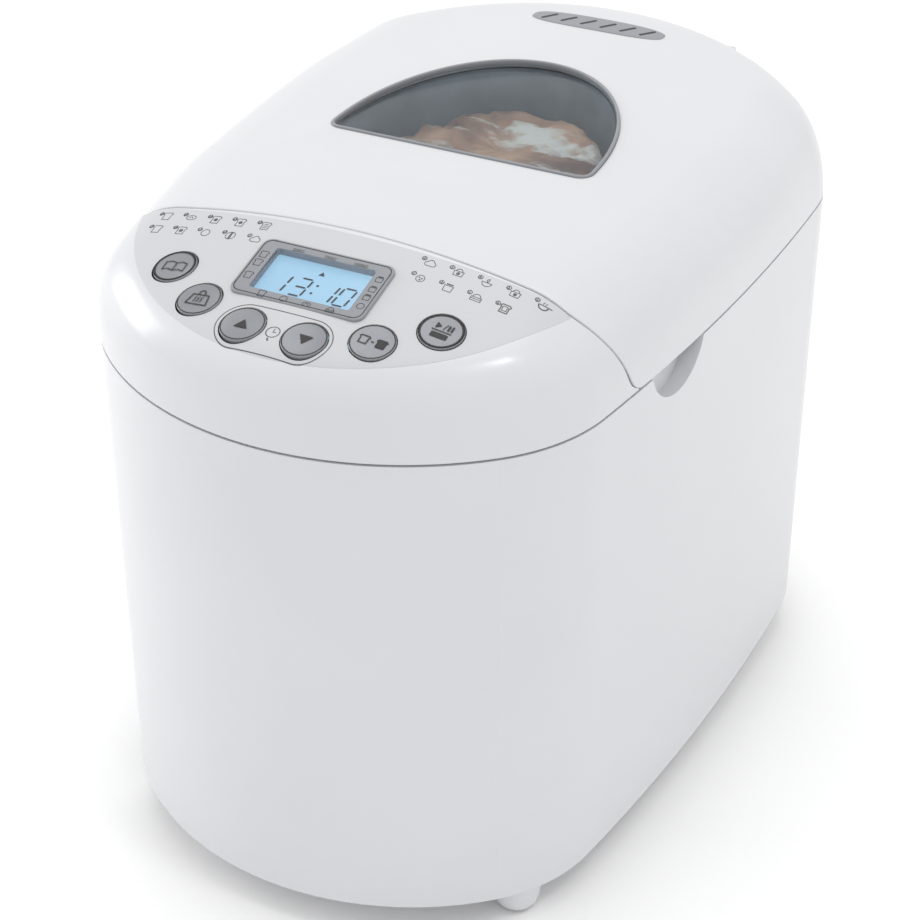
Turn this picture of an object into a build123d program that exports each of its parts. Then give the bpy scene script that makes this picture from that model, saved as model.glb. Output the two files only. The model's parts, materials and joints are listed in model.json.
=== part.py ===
from build123d import *
import os
from math import acos, asin, cos, degrees, pi, radians, sin, sqrt

# Bread machine, millimetres. +Z is up, the control panel faces -Y, and the origin is on the
# surface it stands on, under the middle of the casing.

# ---------------------------------------------------------------- casing, driving dimensions
FRONT_Y = -172.2
OUTLINE_ARCS = [(121.6, 42.4), (67.8, 39.0), (1066.0, 10.7), (44.2, 40.6)]  # radius, turn
WALL = 2.5
BODY_BOTTOM = 15.7
BODY_TOP = 221.0
PARTING_GAP = 0.6
COVER_BOTTOM = BODY_TOP + PARTING_GAP

# Control housing: a panel sloping up to the back, crowned from side to side.
PANEL_Y = -125.2
PANEL_Z = 265.0
PANEL_TILT = 14.8
PANEL_CROWN_R = 420.0
HOUSING_EDGE_R = 18.0
LID_FRONT = [(-97.0, 256.0), (-80.0, 226.0), (-72.0, COVER_BOTTOM)]  # side view, y and z
LID_GAP = 0.5

# Lid: crowned roof, flat plateau round a half-elliptical window.
LID_ROOF_Y = -97.0
LID_ROOF_Z = 272.3
LID_ROOF_TILT = 0.5
LID_CROWN_R = 555.0
LID_EDGE_R = 28.0
PLATEAU_TILT = 1.8
PLATEAU_Z = 268.6
PLATEAU_Y = -10.0
PLATEAU_HALF = (80.0, 148.0)
PLATEAU_BASE_Y = -34.0
WINDOW_HALF = (58.0, 91.0)
WINDOW_BASE_Y = -14.0
WINDOW_CORNER_R = 5.0
GASKET_WIDTH = 2.2
PANE_THICKNESS = 3.0
LINER_PLATE_Z = 226.0
VENT_Y = 125.0
VENT_SIZE = (62.5, 13.5)

# Finger scoop in each side wall of the body.
SCOOP_Y = -46.0
SCOOP_Z = 227.0
SCOOP_R = 21.0
SCOOP_DEPTH = 12.0
SCOOP_MOUTH_X = 116.0

# Cord inlet and louvres in the rear wall, cooling slots in the base.
CORD_Y = 168.0
CORD_Z = 38.0
CORD_HOLE_R = 7.0
CORD_BORE_R = 3.8
CORD_COLLAR_R = 9.5
LOUVRE_X = 42.0
LOUVRE_Z = 80.0
LOUVRE_PITCH = 9.0
LOUVRE_SIZE = (26.0, 3.5)
LOUVRE_ROWS = 5
BASE_SLOT_SIZE = (44.0, 4.0)
BASE_SLOT_X = 48.0
BASE_SLOT_Y = -30.0
BASE_SLOT_PITCH = 12.0
BASE_SLOT_ROWS = 6

# Rear hinge.
HINGE_Y = 156.0
HINGE_Z = 232.0
HINGE_PIN_R = 2.5
HINGE_PIN_GAP = 0.05
HINGE_PIN_X = (31.0, 62.5)
HINGE_BLOCK_X = 39.5
HINGE_BLOCK_R = 12.0
HINGE_CHEEK_X = (53.5, 64.0)
HINGE_BARREL_X = (41.0, 52.0)
HINGE_BARREL_R = 7.0
HINGE_NOTCH_HALF = 65.0
HINGE_NOTCH_TOP = 250.0

# Chamber, pan and drive share one vertical axis at this Y.
CENTRE_Y = 28.0
LINER_HALF = (92.0, 94.0)
LINER_R = 32.0
LINER_FLOOR = 58.0
LINER_SHEET = 0.8
SOCKET_SHEET = 1.6
DECK_TOP = 219.8
DECK_BOTTOM = 216.6
DECK_OPENING_HALF = (88.0, 90.0)
PAN_TOP_HALF = (74.0, 82.0)
PAN_BOTTOM = 76.0
PAN_TOP = 188.0
PAN_WALL = 1.6
PAN_DRAFT = 2.5
PAN_RIM = 3.0
ELEMENT_Z = 78.0
ELEMENT_R = 3.25
ELEMENT_LEADS = (36.0, 58.0)
ELEMENT_HALF = (84.0, 84.0)
BAIL_WIRE_R = 2.0
BAIL_Z = 193.0
BAIL_HALF = (80.5, 86.0)

SPINDLE_BOTTOM = 64.0
SPINDLE_TOP = 118.0
FLAT_DEPTH = 1.0
PADDLE_BOTTOM = 88.5

# Drive train.
SHAFT_R = 4.0
RUNNING_GAP = 0.05
MOTOR_Y = -118.0
MOTOR_SHAFT_R = 3.0
CHASSIS_TOP = 52.0
CHASSIS_SHEET = 2.0
PULLEY_Z = (24.0, 34.0)
DRIVEN_GROOVE_R = 57.0
MOTOR_GROOVE_R = 8.5
FLANGE_HEIGHT = 3.5
BELT_GAP = 0.3
BELT_THICKNESS = 2.2
STATOR_HALF = 35.0
STATOR_Z = (78.0, 110.0)
MOTOR_BOLT_HALF = 29.0
MOTOR_BOLT_R = 2.0

# Controls: name and place (x, y) of each button on the panel.
BUTTONS = {
    "button_menu": (-54.2, -131.0),
    "button_weight": (-35.0, -145.4),
    "button_up": (-12.4, -153.1),
    "button_down": (12.4, -153.1),
    "button_browning": (35.0, -145.4),
    "button_start_stop": (54.2, -131.0),
}
BUTTON_R = 8.4
BUTTON_HOLE_R = 8.8
BUTTON_PROUD = 0.9
BEZEL_SIZE = (54.0, 30.0)
BEZEL_CORNER_R = 4.0
SCREEN_SIZE = (40.5, 21.5)
OVERLAY_R = 94.0
OVERLAY_CENTRE_Y = -70.0
OVERLAY_THICKNESS = 0.8
OVERLAY_REAR_Y = -99.7
BOARD_DEPTH = 18.0
BOARD_THICKNESS = 1.6
SWITCH_HEIGHT = 5.0

# Feet and screws.
FEET = [(82.5, -123.5), (-82.5, -123.5), (78.0, 118.0), (-78.0, 118.0)]
FOOT_TOP_R = 10.0
FOOT_BOTTOM_R = 8.6
PAD_THICKNESS = 2.0
SCREW_R = 1.6
SCREW_HEAD_R = 3.4
SCREW_GAP = 0.05
CHASSIS_POSTS = [(60.0, -140.0), (-60.0, -140.0), (76.0, 66.0), (-76.0, 66.0)]
SHELL_BOSSES = [(104.0, -55.0), (-104.0, -55.0), (104.0, 84.0), (-104.0, 84.0)]
LID_BOSSES = [(94.0, -50.0), (-94.0, -50.0), (94.0, 92.0), (-94.0, 92.0)]
TALL = 420.0


# ---------------------------------------------------------------- helpers
def half_outline(inset):
    """Arcs of the right half of the plan outline, front centre to back centre, offset inwards."""
    x, y, heading = 0.0, FRONT_Y, 0.0
    arcs = []
    for radius, turn in OUTLINE_ARCS + [(None, None)]:
        if radius is None:
            radius = x / sin(heading)
            swing = pi - heading
        else:
            swing = radians(turn)
        centre_x = x - radius * sin(heading)
        centre_y = y + radius * cos(heading)
        arcs.append([
            (centre_x + (radius - inset) * sin(a), centre_y - (radius - inset) * cos(a))
            for a in (heading, heading + swing / 2, heading + swing)
        ])
        heading += swing
        x = centre_x + radius * sin(heading)
        y = centre_y - radius * cos(heading)
    return arcs


def outline(inset=0.0):
    """Plan outline of the casing as a face: tangent arcs, mirrored about X = 0."""
    edges = []
    for start, middle, end in half_outline(inset):
        edges.append(ThreePointArc(start, middle, end))
        edges.append(ThreePointArc(*[(-x, y) for x, y in (start, middle, end)]))
    return make_face(edges)


def prism(sketch, z0, z1):
    """Sketch in the XY plane pulled up from z0 to z1."""
    return extrude(Pos(0, 0, z0) * sketch, amount=z1 - z0, dir=(0, 0, 1))


def ring(z0, z1, inset, width):
    """Vertical wall that follows the casing outline."""
    return prism(outline(inset), z0, z1) - prism(outline(inset + width), z0, z1)


def drum(radius, z0, z1, x=0.0, y=0.0):
    """Vertical cylinder."""
    return Pos(x, y, (z0 + z1) / 2) * Cylinder(radius, z1 - z0)


def tube(outer, inner, z0, z1, x=0.0, y=0.0):
    """Vertical tube."""
    return drum(outer, z0, z1, x, y) - drum(inner, z0, z1, x, y)


def block(x0, x1, y0, y1, z0, z1):
    """Rectangular block from its two corners."""
    centre = Pos((x0 + x1) / 2, (y0 + y1) / 2, (z0 + z1) / 2)
    return centre * Box(x1 - x0, y1 - y0, z1 - z0)


def rounded_block(half, radius, z0, z1, y=CENTRE_Y):
    """Block with rounded vertical edges, centred on X = 0."""
    return prism(Pos(0, y) * RectangleRounded(2 * half[0], 2 * half[1], radius), z0, z1)


def side_prism(points, x0, x1):
    """Closed profile in the YZ plane, pulled along X."""
    profile = Plane.YZ * make_face(Polyline(*points, close=True))
    return extrude(Pos(x0, 0, 0) * profile, amount=x1 - x0, dir=(1, 0, 0))


def roof(y, z, tilt, crown_r, drop=0.0):
    """Everything under a crowned surface that rises towards +Y by the tilt angle."""
    top_line = Pos(0, y, z) * Rot(tilt, 0, 0)
    return top_line * Pos(0, 0, -crown_r - drop) * Rot(90, 0, 0) * Cylinder(crown_r, 4 * TALL)


def fillet_top(solid, radius):
    """Round the edge between the upright walls and the roof."""
    top_edges = [e for e in solid.edges() if e.center().Z > COVER_BOTTOM + 5 and not is_upright(e)]
    return fillet(top_edges, radius)


def is_upright(edge):
    """True for a straight vertical edge."""
    return abs((edge % 0.5).Z) > 0.9


def half_ellipse(half, base_y, corner_r, shrink=0.0):
    """Half ellipse standing on a straight front edge, with rounded front corners."""
    a, b = half[0] - shrink, half[1] - 2 * shrink
    shape = Pos(0, base_y + shrink) * Ellipse(a, b)
    shape = shape - Pos(0, base_y + shrink - b) * Rectangle(3 * a, 2 * b)
    corners = [v for v in shape.vertices() if abs(v.Y - base_y - shrink) < 0.01 and abs(v.X) > 1]
    return fillet(corners, corner_r)


def in_front_of_lid(back_off, top=TALL):
    """Space in front of the line where lid and control housing meet, moved forward by back_off."""
    line = [(y - back_off, z) for y, z in LID_FRONT]
    points = [(-TALL, -10.0), (-TALL, top), (line[0][0], top)] + line + [(line[-1][0], -10.0)]
    return side_prism(points, -TALL, TALL)


def panel_sag(x):
    """Drop of the crowned panel at a distance x from its middle."""
    return PANEL_CROWN_R - sqrt(PANEL_CROWN_R**2 - x**2)


def panel_point(x, y):
    """Place on the crowned panel under plan point (x, y): Z is the outward normal there."""
    along = (y - PANEL_Y) / cos(radians(PANEL_TILT))
    lean = degrees(asin(x / PANEL_CROWN_R))
    sag = panel_sag(x)
    return Pos(0, PANEL_Y, PANEL_Z) * Rot(PANEL_TILT, 0, 0) * Pos(x, along, -sag) * Rot(0, lean, 0)


def plateau_frame():
    """Place whose XY plane is the flat plateau of the lid, above the origin's X and Y."""
    return Pos(0, PLATEAU_Y, PLATEAU_Z) * Rot(PLATEAU_TILT, 0, 0) * Pos(0, -PLATEAU_Y, 0)


def screw(x, y, z_head, length, up=False):
    """Pan-head screw; its head sits on z_head and the shank goes down, or up if up is set."""
    way = 1 if up else -1
    head = drum(SCREW_HEAD_R, min(z_head, z_head - 2.2 * way), max(z_head, z_head - 2.2 * way), x, y)
    shank = drum(SCREW_R, min(z_head, z_head + length * way), max(z_head, z_head + length * way), x, y)
    return head + shank


def group(solids):
    """Separate solids kept together in one node."""
    return Compound(children=[s.solid() for s in solids])


# ---------------------------------------------------------------- casing
def feet():
    """Four tapered feet under the base plate."""
    legs = []
    for x, y in FEET:
        cone = Cone(FOOT_BOTTOM_R, FOOT_TOP_R, BODY_BOTTOM - PAD_THICKNESS)
        legs.append(Pos(x, y, (BODY_BOTTOM + PAD_THICKNESS) / 2) * cone)
    return group(legs)


def foot_pads():
    """Rubber pads under the feet."""
    return group([drum(FOOT_BOTTOM_R - 0.4, 0, PAD_THICKNESS, x, y) for x, y in FEET])


def base_plate():
    """Bottom cover with cooling slots and four posts for the chassis."""
    plate = prism(outline(WALL + 0.4), BODY_BOTTOM, BODY_BOTTOM + WALL)
    for x, y in CHASSIS_POSTS:
        plate += drum(5.0, BODY_BOTTOM, CHASSIS_TOP - CHASSIS_SHEET, x, y)
    for x, y in CHASSIS_POSTS:
        plate -= drum(SCREW_R + SCREW_GAP, 30, CHASSIS_TOP, x, y)
    for x, y in SHELL_BOSSES:
        plate -= drum(SCREW_R + 0.4, 0, 30, x, y)
    slot = SlotOverall(*BASE_SLOT_SIZE)
    for row in range(BASE_SLOT_ROWS):
        for x in (-BASE_SLOT_X, BASE_SLOT_X):
            plate -= prism(Pos(x, BASE_SLOT_Y + BASE_SLOT_PITCH * row) * slot, 10, 30)
    return plate


def finger_scoop(side, grow=0.0):
    """Half-round finger recess in one side wall, under the lid's front corner."""
    depth = SCOOP_DEPTH + grow
    disc = Rot(0, 90, 0) * Cylinder(SCOOP_R + grow, depth)
    disc = Pos(side * (SCOOP_MOUTH_X - depth / 2), SCOOP_Y, SCOOP_Z) * disc
    return disc & block(-TALL, TALL, -TALL, TALL, 100, COVER_BOTTOM)


def body_shell():
    """Outer casing: an upright wall with a finger scoop on each side and a cord opening."""
    shell = ring(BODY_BOTTOM, BODY_TOP, 0, WALL)
    inside = prism(outline(0.5), BODY_BOTTOM, BODY_TOP)
    for side in (-1, 1):
        shell += finger_scoop(side, 1.8) & inside
    for side in (-1, 1):
        shell -= finger_scoop(side)
    for x, y in SHELL_BOSSES:
        side = 1 if x > 0 else -1
        rib = block(min(x, side * 114), max(x, side * 114), y - 1.5, y + 1.5, 19, 50)
        shell += drum(5.0, 19, 50, x, y) + (rib & inside)
    for x, y in SHELL_BOSSES:
        shell -= drum(SCREW_R + SCREW_GAP, 10, 45, x, y)
    shell -= Pos(0, CORD_Y, CORD_Z) * Rot(90, 0, 0) * Cylinder(CORD_HOLE_R, 40)
    slot = Rot(90, 0, 0) * extrude(SlotOverall(*LOUVRE_SIZE), amount=60, both=True)
    for row in range(LOUVRE_ROWS):
        for x in (-LOUVRE_X, LOUVRE_X):
            shell -= Pos(x, CORD_Y - 8, LOUVRE_Z + LOUVRE_PITCH * row) * slot
    return shell


def cord_gland():
    """Rubber bush that lines the cord opening in the rear wall."""
    bush = Cylinder(CORD_HOLE_R - 0.1, 8.0) - Cylinder(CORD_BORE_R, 8.0)
    collar = Cylinder(CORD_COLLAR_R, 3.0) - Cylinder(CORD_BORE_R, 3.0)
    inlet = Pos(0, CORD_Y, CORD_Z) * Rot(90, 0, 0)
    return inlet * bush + inlet * Pos(0, 0, 1.8) * collar


def housing_block(inset, drop, radius, front_gap):
    """Solid control housing, from which the hollow one is made."""
    tall = prism(outline(inset), COVER_BOTTOM - 1, TALL)
    tall = tall & roof(PANEL_Y, PANEL_Z, PANEL_TILT, PANEL_CROWN_R, drop)
    return fillet_top(tall, radius) & in_front_of_lid(front_gap)


def overlay_plan():
    """Crescent of the control panel: a disc cut off straight just in front of the lid."""
    disc = Pos(0, OVERLAY_CENTRE_Y) * Circle(OVERLAY_R)
    return disc & Pos(0, OVERLAY_REAR_Y - TALL / 2) * Rectangle(TALL, TALL)


def bezel_sketch(grow=0.0):
    """Rounded rectangle of the display bezel, in the panel's own plane."""
    return RectangleRounded(BEZEL_SIZE[0] + grow, BEZEL_SIZE[1] + grow, BEZEL_CORNER_R)


def panel_cutouts():
    """Holes for the display and the six buttons, through overlay and housing."""
    cuts = panel_point(0, PANEL_Y) * Pos(0, 0, -10) * extrude(bezel_sketch(0.4), amount=20)
    for x, y in BUTTONS.values():
        cuts += panel_point(x, y) * Cylinder(BUTTON_HOLE_R, 16)
    return cuts


def top_cover():
    """Control housing in front, flat deck round the chamber, and hinge block at the rear."""
    housing = housing_block(0, 0, HOUSING_EDGE_R, LID_GAP)
    housing -= housing_block(WALL, WALL, HOUSING_EDGE_R - WALL, LID_GAP + WALL)
    housing -= block(-200, 200, -200, 200, 200, COVER_BOTTOM)
    front = block(-200, 200, -200, -78, 200, 300)
    skirt = ring(DECK_BOTTOM, COVER_BOTTOM + 2.4, WALL + 0.4, 2.2) & front
    ledge = ring(COVER_BOTTOM, COVER_BOTTOM + 2.4, 1.0, 4.0) & front
    deck = prism(outline(WALL + 0.4), DECK_BOTTOM, DECK_TOP)
    deck -= rounded_block(DECK_OPENING_HALF, LINER_R - 2, 200, 230)
    deck -= prism(outline(WALL + 5), 200, 230) & block(-200, 200, -200, -76, 200, 230)
    rear_wall_foot = block(-90, 90, -78, -72.6, DECK_BOTTOM, COVER_BOTTOM + 2)
    rear_wall_foot = rear_wall_foot & in_front_of_lid(LID_GAP)
    for side in (-1, 1):
        deck -= finger_scoop(side, 2.2)
    cover = housing + skirt + ledge + deck + rear_wall_foot + hinge_block()
    cover -= panel_cutouts()
    groove = prism(overlay_plan(), 240, 300)
    groove -= roof(PANEL_Y, PANEL_Z, PANEL_TILT, PANEL_CROWN_R, OVERLAY_THICKNESS)
    return cover - groove


def hinge_block():
    """Fixed middle and outer cheeks of the hinge, bored for the pins; the middle is hollow."""
    spans = [(-HINGE_BLOCK_X, HINGE_BLOCK_X), HINGE_CHEEK_X, (-HINGE_CHEEK_X[1], -HINGE_CHEEK_X[0])]
    front = HINGE_Y - HINGE_BLOCK_R
    inside = block(-30, 30, front + 3, HINGE_Y + 6, DECK_TOP + 2, HINGE_Z)
    inside += along_hinge(HINGE_BLOCK_R - 3.5, -30, 30)
    stand = None
    for x0, x1 in spans:
        piece = block(x0, x1, front, TALL, DECK_TOP - 1, HINGE_Z) + along_hinge(HINGE_BLOCK_R, x0, x1)
        stand = piece if stand is None else stand + piece
    stand = stand & prism(outline(0), COVER_BOTTOM, TALL)
    stand += block(-HINGE_CHEEK_X[1], HINGE_CHEEK_X[1], front, TALL, DECK_TOP - 1, COVER_BOTTOM) & prism(
        outline(WALL + 0.4), DECK_BOTTOM, TALL)
    return stand - inside - along_hinge(HINGE_PIN_R, -HINGE_PIN_X[1], HINGE_PIN_X[1])


def along_hinge(radius, x0, x1):
    """Cylinder on the hinge axis."""
    return Pos((x0 + x1) / 2, HINGE_Y, HINGE_Z) * Rot(0, 90, 0) * Cylinder(radius, x1 - x0)


def hinge_pins():
    """Two steel pins, fixed in the hinge block."""
    inner, outer = HINGE_PIN_X
    return group([along_hinge(HINGE_PIN_R, inner, outer), along_hinge(HINGE_PIN_R, -outer, -inner)])


# ---------------------------------------------------------------- controls
def panel_overlay():
    """Printed crescent, flush in its groove in the control housing."""
    skin = prism(overlay_plan(), 240, 300) & roof(PANEL_Y, PANEL_Z, PANEL_TILT, PANEL_CROWN_R)
    skin -= roof(PANEL_Y, PANEL_Z, PANEL_TILT, PANEL_CROWN_R, OVERLAY_THICKNESS)
    return skin - panel_cutouts()


def display_bezel():
    """Frame round the display."""
    frame = extrude(bezel_sketch(), amount=3.6)
    frame -= extrude(RectangleRounded(SCREEN_SIZE[0], SCREEN_SIZE[1], 1.0), amount=3.6)
    return panel_point(0, PANEL_Y) * Pos(0, 0, -2.8) * frame


def display_window():
    """Clear lens in the bezel."""
    pane = extrude(RectangleRounded(SCREEN_SIZE[0], SCREEN_SIZE[1], 1.0), amount=1.5)
    return panel_point(0, PANEL_Y) * Pos(0, 0, -1.1) * pane


def lcd_module():
    """Backlit display under the lens, standing on the control board."""
    return panel_point(0, PANEL_Y) * Pos(0, 0, -BOARD_DEPTH / 2 - 1.6) * Box(46, 26, BOARD_DEPTH - 3.2)


def control_board():
    """Circuit board parallel to the panel."""
    plan = outline(20) & Pos(0, -200 - 104) * Rectangle(400, 400)
    slab = panel_point(0, PANEL_Y) * Pos(0, 0, -BOARD_DEPTH - BOARD_THICKNESS / 2)
    return prism(plan, 200, 300) & slab * Box(300, 300, BOARD_THICKNESS)


def tact_switches():
    """Six small switches on the control board, one under each button."""
    switches = []
    for x, y in BUTTONS.values():
        along = (y - PANEL_Y) / cos(radians(PANEL_TILT))
        foot = panel_point(0, PANEL_Y) * Pos(x, along, -BOARD_DEPTH)
        body = Pos(0, 0, 1.75) * Box(6, 6, 3.5)
        plunger = Pos(0, 0, SWITCH_HEIGHT / 2) * Cylinder(1.7, SWITCH_HEIGHT)
        switches.append(foot * (body + plunger))
    return group(switches)


def button(x, y):
    """Button: domed cap, retaining flange inside the housing and a stem over its switch."""
    stem_bottom = BOARD_DEPTH - panel_sag(x) - SWITCH_HEIGHT - 1.5
    flange_top = WALL + 1.0
    cap = Pos(0, 0, (BUTTON_PROUD - flange_top) / 2) * Cylinder(BUTTON_R, BUTTON_PROUD + flange_top)
    cap = fillet(cap.edges().group_by(Axis.Z)[-1], 0.6)
    flange = Pos(0, 0, -flange_top - 0.6) * Cylinder(BUTTON_R + 1.2, 1.2)
    stem = Pos(0, 0, -(flange_top + stem_bottom) / 2) * Cylinder(2.4, stem_bottom - flange_top)
    return panel_point(x, y) * (cap + flange + stem)


# ---------------------------------------------------------------- lid
def lid_block(inset, drop, radius):
    """Solid lid with its flat plateau, from which the hollow one is made."""
    tall = prism(outline(inset), COVER_BOTTOM, TALL)
    tall = tall & roof(LID_ROOF_Y, LID_ROOF_Z, LID_ROOF_TILT, LID_CROWN_R, drop)
    solid = fillet_top(tall, radius)
    above = half_ellipse(PLATEAU_HALF, PLATEAU_BASE_Y, 18.0)
    return solid - plateau_frame() * Pos(0, 0, -drop) * extrude(above, amount=20)


def window_plan(shrink=0.0):
    """Outline of the window opening."""
    return half_ellipse(WINDOW_HALF, WINDOW_BASE_Y, WINDOW_CORNER_R, shrink)


def lid_shell():
    """Outer moulding of the lid with its window and vent openings and hinge barrels."""
    outer = lid_block(0, 0, LID_EDGE_R)
    shell = outer - lid_block(WALL, WALL, LID_EDGE_R - WALL)
    shell -= in_front_of_lid(0)
    shell += (outer & in_front_of_lid(-WALL)) - in_front_of_lid(0)
    posts = [drum(5.0, LINER_PLATE_Z + 1.5, 300, x, y) for x, y in LID_BOSSES]
    for post in posts:
        shell += post & outer
    for x, y in LID_BOSSES:
        shell -= drum(SCREW_R + SCREW_GAP, 220, 245, x, y)
    notch = block(-HINGE_NOTCH_HALF, HINGE_NOTCH_HALF, HINGE_Y - 16, 200, 200, HINGE_NOTCH_TOP)
    shell -= notch
    shell -= plateau_frame() * Pos(0, 0, -20) * extrude(window_plan(), amount=40)
    shell -= prism(Pos(0, VENT_Y) * SlotOverall(VENT_SIZE[0] - 5, VENT_SIZE[1] - 4), 240, 300)
    shell -= prism(Pos(0, VENT_Y) * SlotOverall(VENT_SIZE[0] + 0.4, VENT_SIZE[1] + 0.4), vent_seat(), 300)
    for side in (-1, 1):
        shell += hinge_arm(side) & outer
        shell += hinge_barrel(side)
    return shell - along_hinge(HINGE_PIN_R + HINGE_PIN_GAP, -TALL, TALL)


def vent_seat():
    """Height of the recess in the roof that takes the vent grille."""
    return LID_ROOF_Z + (VENT_Y - LID_ROOF_Y) * sin(radians(LID_ROOF_TILT)) - 1.2


def hinge_arm(side):
    """Web that ties one hinge barrel to the lid's rear wall and roof."""
    x0, x1 = sorted(side * x for x in HINGE_BARREL_X)
    return block(x0, x1, HINGE_Y - 9, TALL, HINGE_NOTCH_TOP, TALL)


def hinge_barrel(side):
    """Lid's barrel on one hinge pin."""
    x0, x1 = sorted(side * x for x in HINGE_BARREL_X)
    stalk = block(x0, x1, HINGE_Y - HINGE_BARREL_R, HINGE_Y, HINGE_Z, HINGE_NOTCH_TOP + 1)
    return along_hinge(HINGE_BARREL_R, x0, x1) + stalk


def window_gasket():
    """Grey frame that holds the pane in the lid."""
    band = extrude(window_plan(0.15) - window_plan(GASKET_WIDTH), amount=PANE_THICKNESS + 1.2)
    return plateau_frame() * Pos(0, 0, -PANE_THICKNESS - 0.6) * band


def lid_window():
    """Clear pane."""
    pane = extrude(window_plan(GASKET_WIDTH), amount=PANE_THICKNESS)
    return plateau_frame() * Pos(0, 0, -PANE_THICKNESS - 0.4) * pane


def lid_liner():
    """Inner sheet of the lid with the light well under the window and the steam duct."""
    plan = outline(7.0) & Pos(0, (LID_FRONT[1][0] + 12 + 142) / 2) * Rectangle(
        400, 142 - LID_FRONT[1][0] - 12)
    sheet = prism(plan, LINER_PLATE_Z, LINER_PLATE_Z + 1.5)
    well = half_ellipse((WINDOW_HALF[0] + 3, WINDOW_HALF[1] + 5), WINDOW_BASE_Y - 3, 7.0)
    opening = half_ellipse((WINDOW_HALF[0] + 1.8, WINDOW_HALF[1] + 2.6), WINDOW_BASE_Y - 1.8, 6.0)
    under_pane = plateau_frame() * Pos(0, 0, -PANE_THICKNESS - 1.0 - 100) * Box(400, 600, 200)
    sheet += prism(well, LINER_PLATE_Z, 280) & under_pane
    duct = prism(Pos(0, VENT_Y) * SlotOverall(VENT_SIZE[0] - 4, VENT_SIZE[1] - 3), LINER_PLATE_Z, 266)
    sheet += duct
    sheet -= prism(opening, 200, 300)
    sheet -= prism(Pos(0, VENT_Y) * SlotOverall(VENT_SIZE[0] - 7, VENT_SIZE[1] - 6), 200, 300)
    for x, y in LID_BOSSES:
        sheet -= drum(SCREW_R + 0.4, 200, 240, x, y)
    return sheet


def lid_vent_grille():
    """Long oval grille over the steam duct, with six slanted slots."""
    seat = vent_seat()
    plate = prism(Pos(0, VENT_Y) * SlotOverall(*VENT_SIZE), seat, seat + 1.9)
    plate += prism(Pos(0, VENT_Y) * SlotOverall(VENT_SIZE[0] - 5.4, VENT_SIZE[1] - 4.4), seat - 1.8, seat)
    for index in range(6):
        x = -19 + 7.6 * index
        plate -= prism(Pos(x, VENT_Y) * Rot(0, 0, 62) * SlotOverall(6.5, 1.8), 200, 300)
    return plate


def lid_screws():
    """Four screws from below that hold the liner to the lid shell."""
    return group([screw(x, y, LINER_PLATE_Z, 14, up=True) for x, y in LID_BOSSES])


# ---------------------------------------------------------------- chamber
def oven_liner():
    """Sheet-metal chamber with a rim under the deck and a hole for the drive in its floor."""
    outer = rounded_block(LINER_HALF, LINER_R, LINER_FLOOR, DECK_BOTTOM)
    inner_half = (LINER_HALF[0] - LINER_SHEET, LINER_HALF[1] - LINER_SHEET)
    box = outer - rounded_block(inner_half, LINER_R - LINER_SHEET, LINER_FLOOR + LINER_SHEET, 300)
    rim_half = (LINER_HALF[0] + 8, LINER_HALF[1] + 8)
    rim = rounded_block(rim_half, LINER_R + 8, DECK_BOTTOM - LINER_SHEET, DECK_BOTTOM)
    box += rim - rounded_block(inner_half, LINER_R - LINER_SHEET, 200, 230)
    box -= drum(17.0, 50, 70, 0, CENTRE_Y)
    for x in ELEMENT_LEADS:
        box -= Pos(x, CENTRE_Y - LINER_HALF[1], ELEMENT_Z) * Rot(90, 0, 0) * Cylinder(5.0, 20)
    return box - Pos(-62, CENTRE_Y - LINER_HALF[1], 120) * Rot(90, 0, 0) * Cylinder(3.2, 20)


def element_path():
    """Centre line of the heating element: both leads through the front wall, one loop."""
    x_side, half_y = ELEMENT_HALF
    front, back = CENTRE_Y - half_y, CENTRE_Y + half_y
    lead_y = CENTRE_Y - LINER_HALF[1] - 12
    inner_x, outer_x = ELEMENT_LEADS
    points = [
        (outer_x, lead_y, ELEMENT_Z), (outer_x, front + 2, ELEMENT_Z), (x_side, front + 24, ELEMENT_Z),
        (x_side, back, ELEMENT_Z), (-x_side, back, ELEMENT_Z), (-x_side, front, ELEMENT_Z),
        (inner_x, front, ELEMENT_Z), (inner_x, lead_y, ELEMENT_Z),
    ]
    return FilletPolyline(*points, radius=[10, 10, 26, 26, 26, 8])


def heating_element():
    """Tubular heater bent into one loop round the pan."""
    path = element_path()
    return sweep(Plane(origin=path @ 0, z_dir=path % 0) * Circle(ELEMENT_R), path=path)


def element_clips():
    """Three sheet clips that carry the heater off the chamber floor."""
    floor = LINER_FLOOR + LINER_SHEET
    top = ELEMENT_Z + ELEMENT_R + 1.5
    x_side, half_y = ELEMENT_HALF
    clips = []
    for x in (-x_side, x_side):
        post = block(x - 5, x + 5, CENTRE_Y - 5, CENTRE_Y + 5, floor, top)
        hole = Pos(x, CENTRE_Y, ELEMENT_Z) * Rot(90, 0, 0) * Cylinder(ELEMENT_R + 0.05, 20)
        clips.append(post - hole)
    y = CENTRE_Y + half_y
    post = block(-5, 5, y - 5, y + 5, floor, top)
    clips.append(post - Pos(0, y, ELEMENT_Z) * Rot(0, 90, 0) * Cylinder(ELEMENT_R + 0.05, 20))
    return group(clips)


def element_terminals():
    """Ceramic bushes round the two heater leads, outside the chamber wall."""
    y = CENTRE_Y - LINER_HALF[1] - 4
    bush = Rot(90, 0, 0) * (Cylinder(7.5, 8) - Cylinder(ELEMENT_R + 0.05, 8))
    return group([Pos(x, y, ELEMENT_Z) * bush for x in ELEMENT_LEADS])


def temperature_sensor():
    """Probe through the chamber's front wall, with its collar outside."""
    wall_y = CENTRE_Y - LINER_HALF[1]
    probe = Pos(-62, wall_y, 120) * Rot(90, 0, 0) * Cylinder(3.0, 16)
    collar = Pos(-62, wall_y - 2.5, 120) * Rot(90, 0, 0) * Cylinder(6.0, 5)
    return probe + collar


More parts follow.
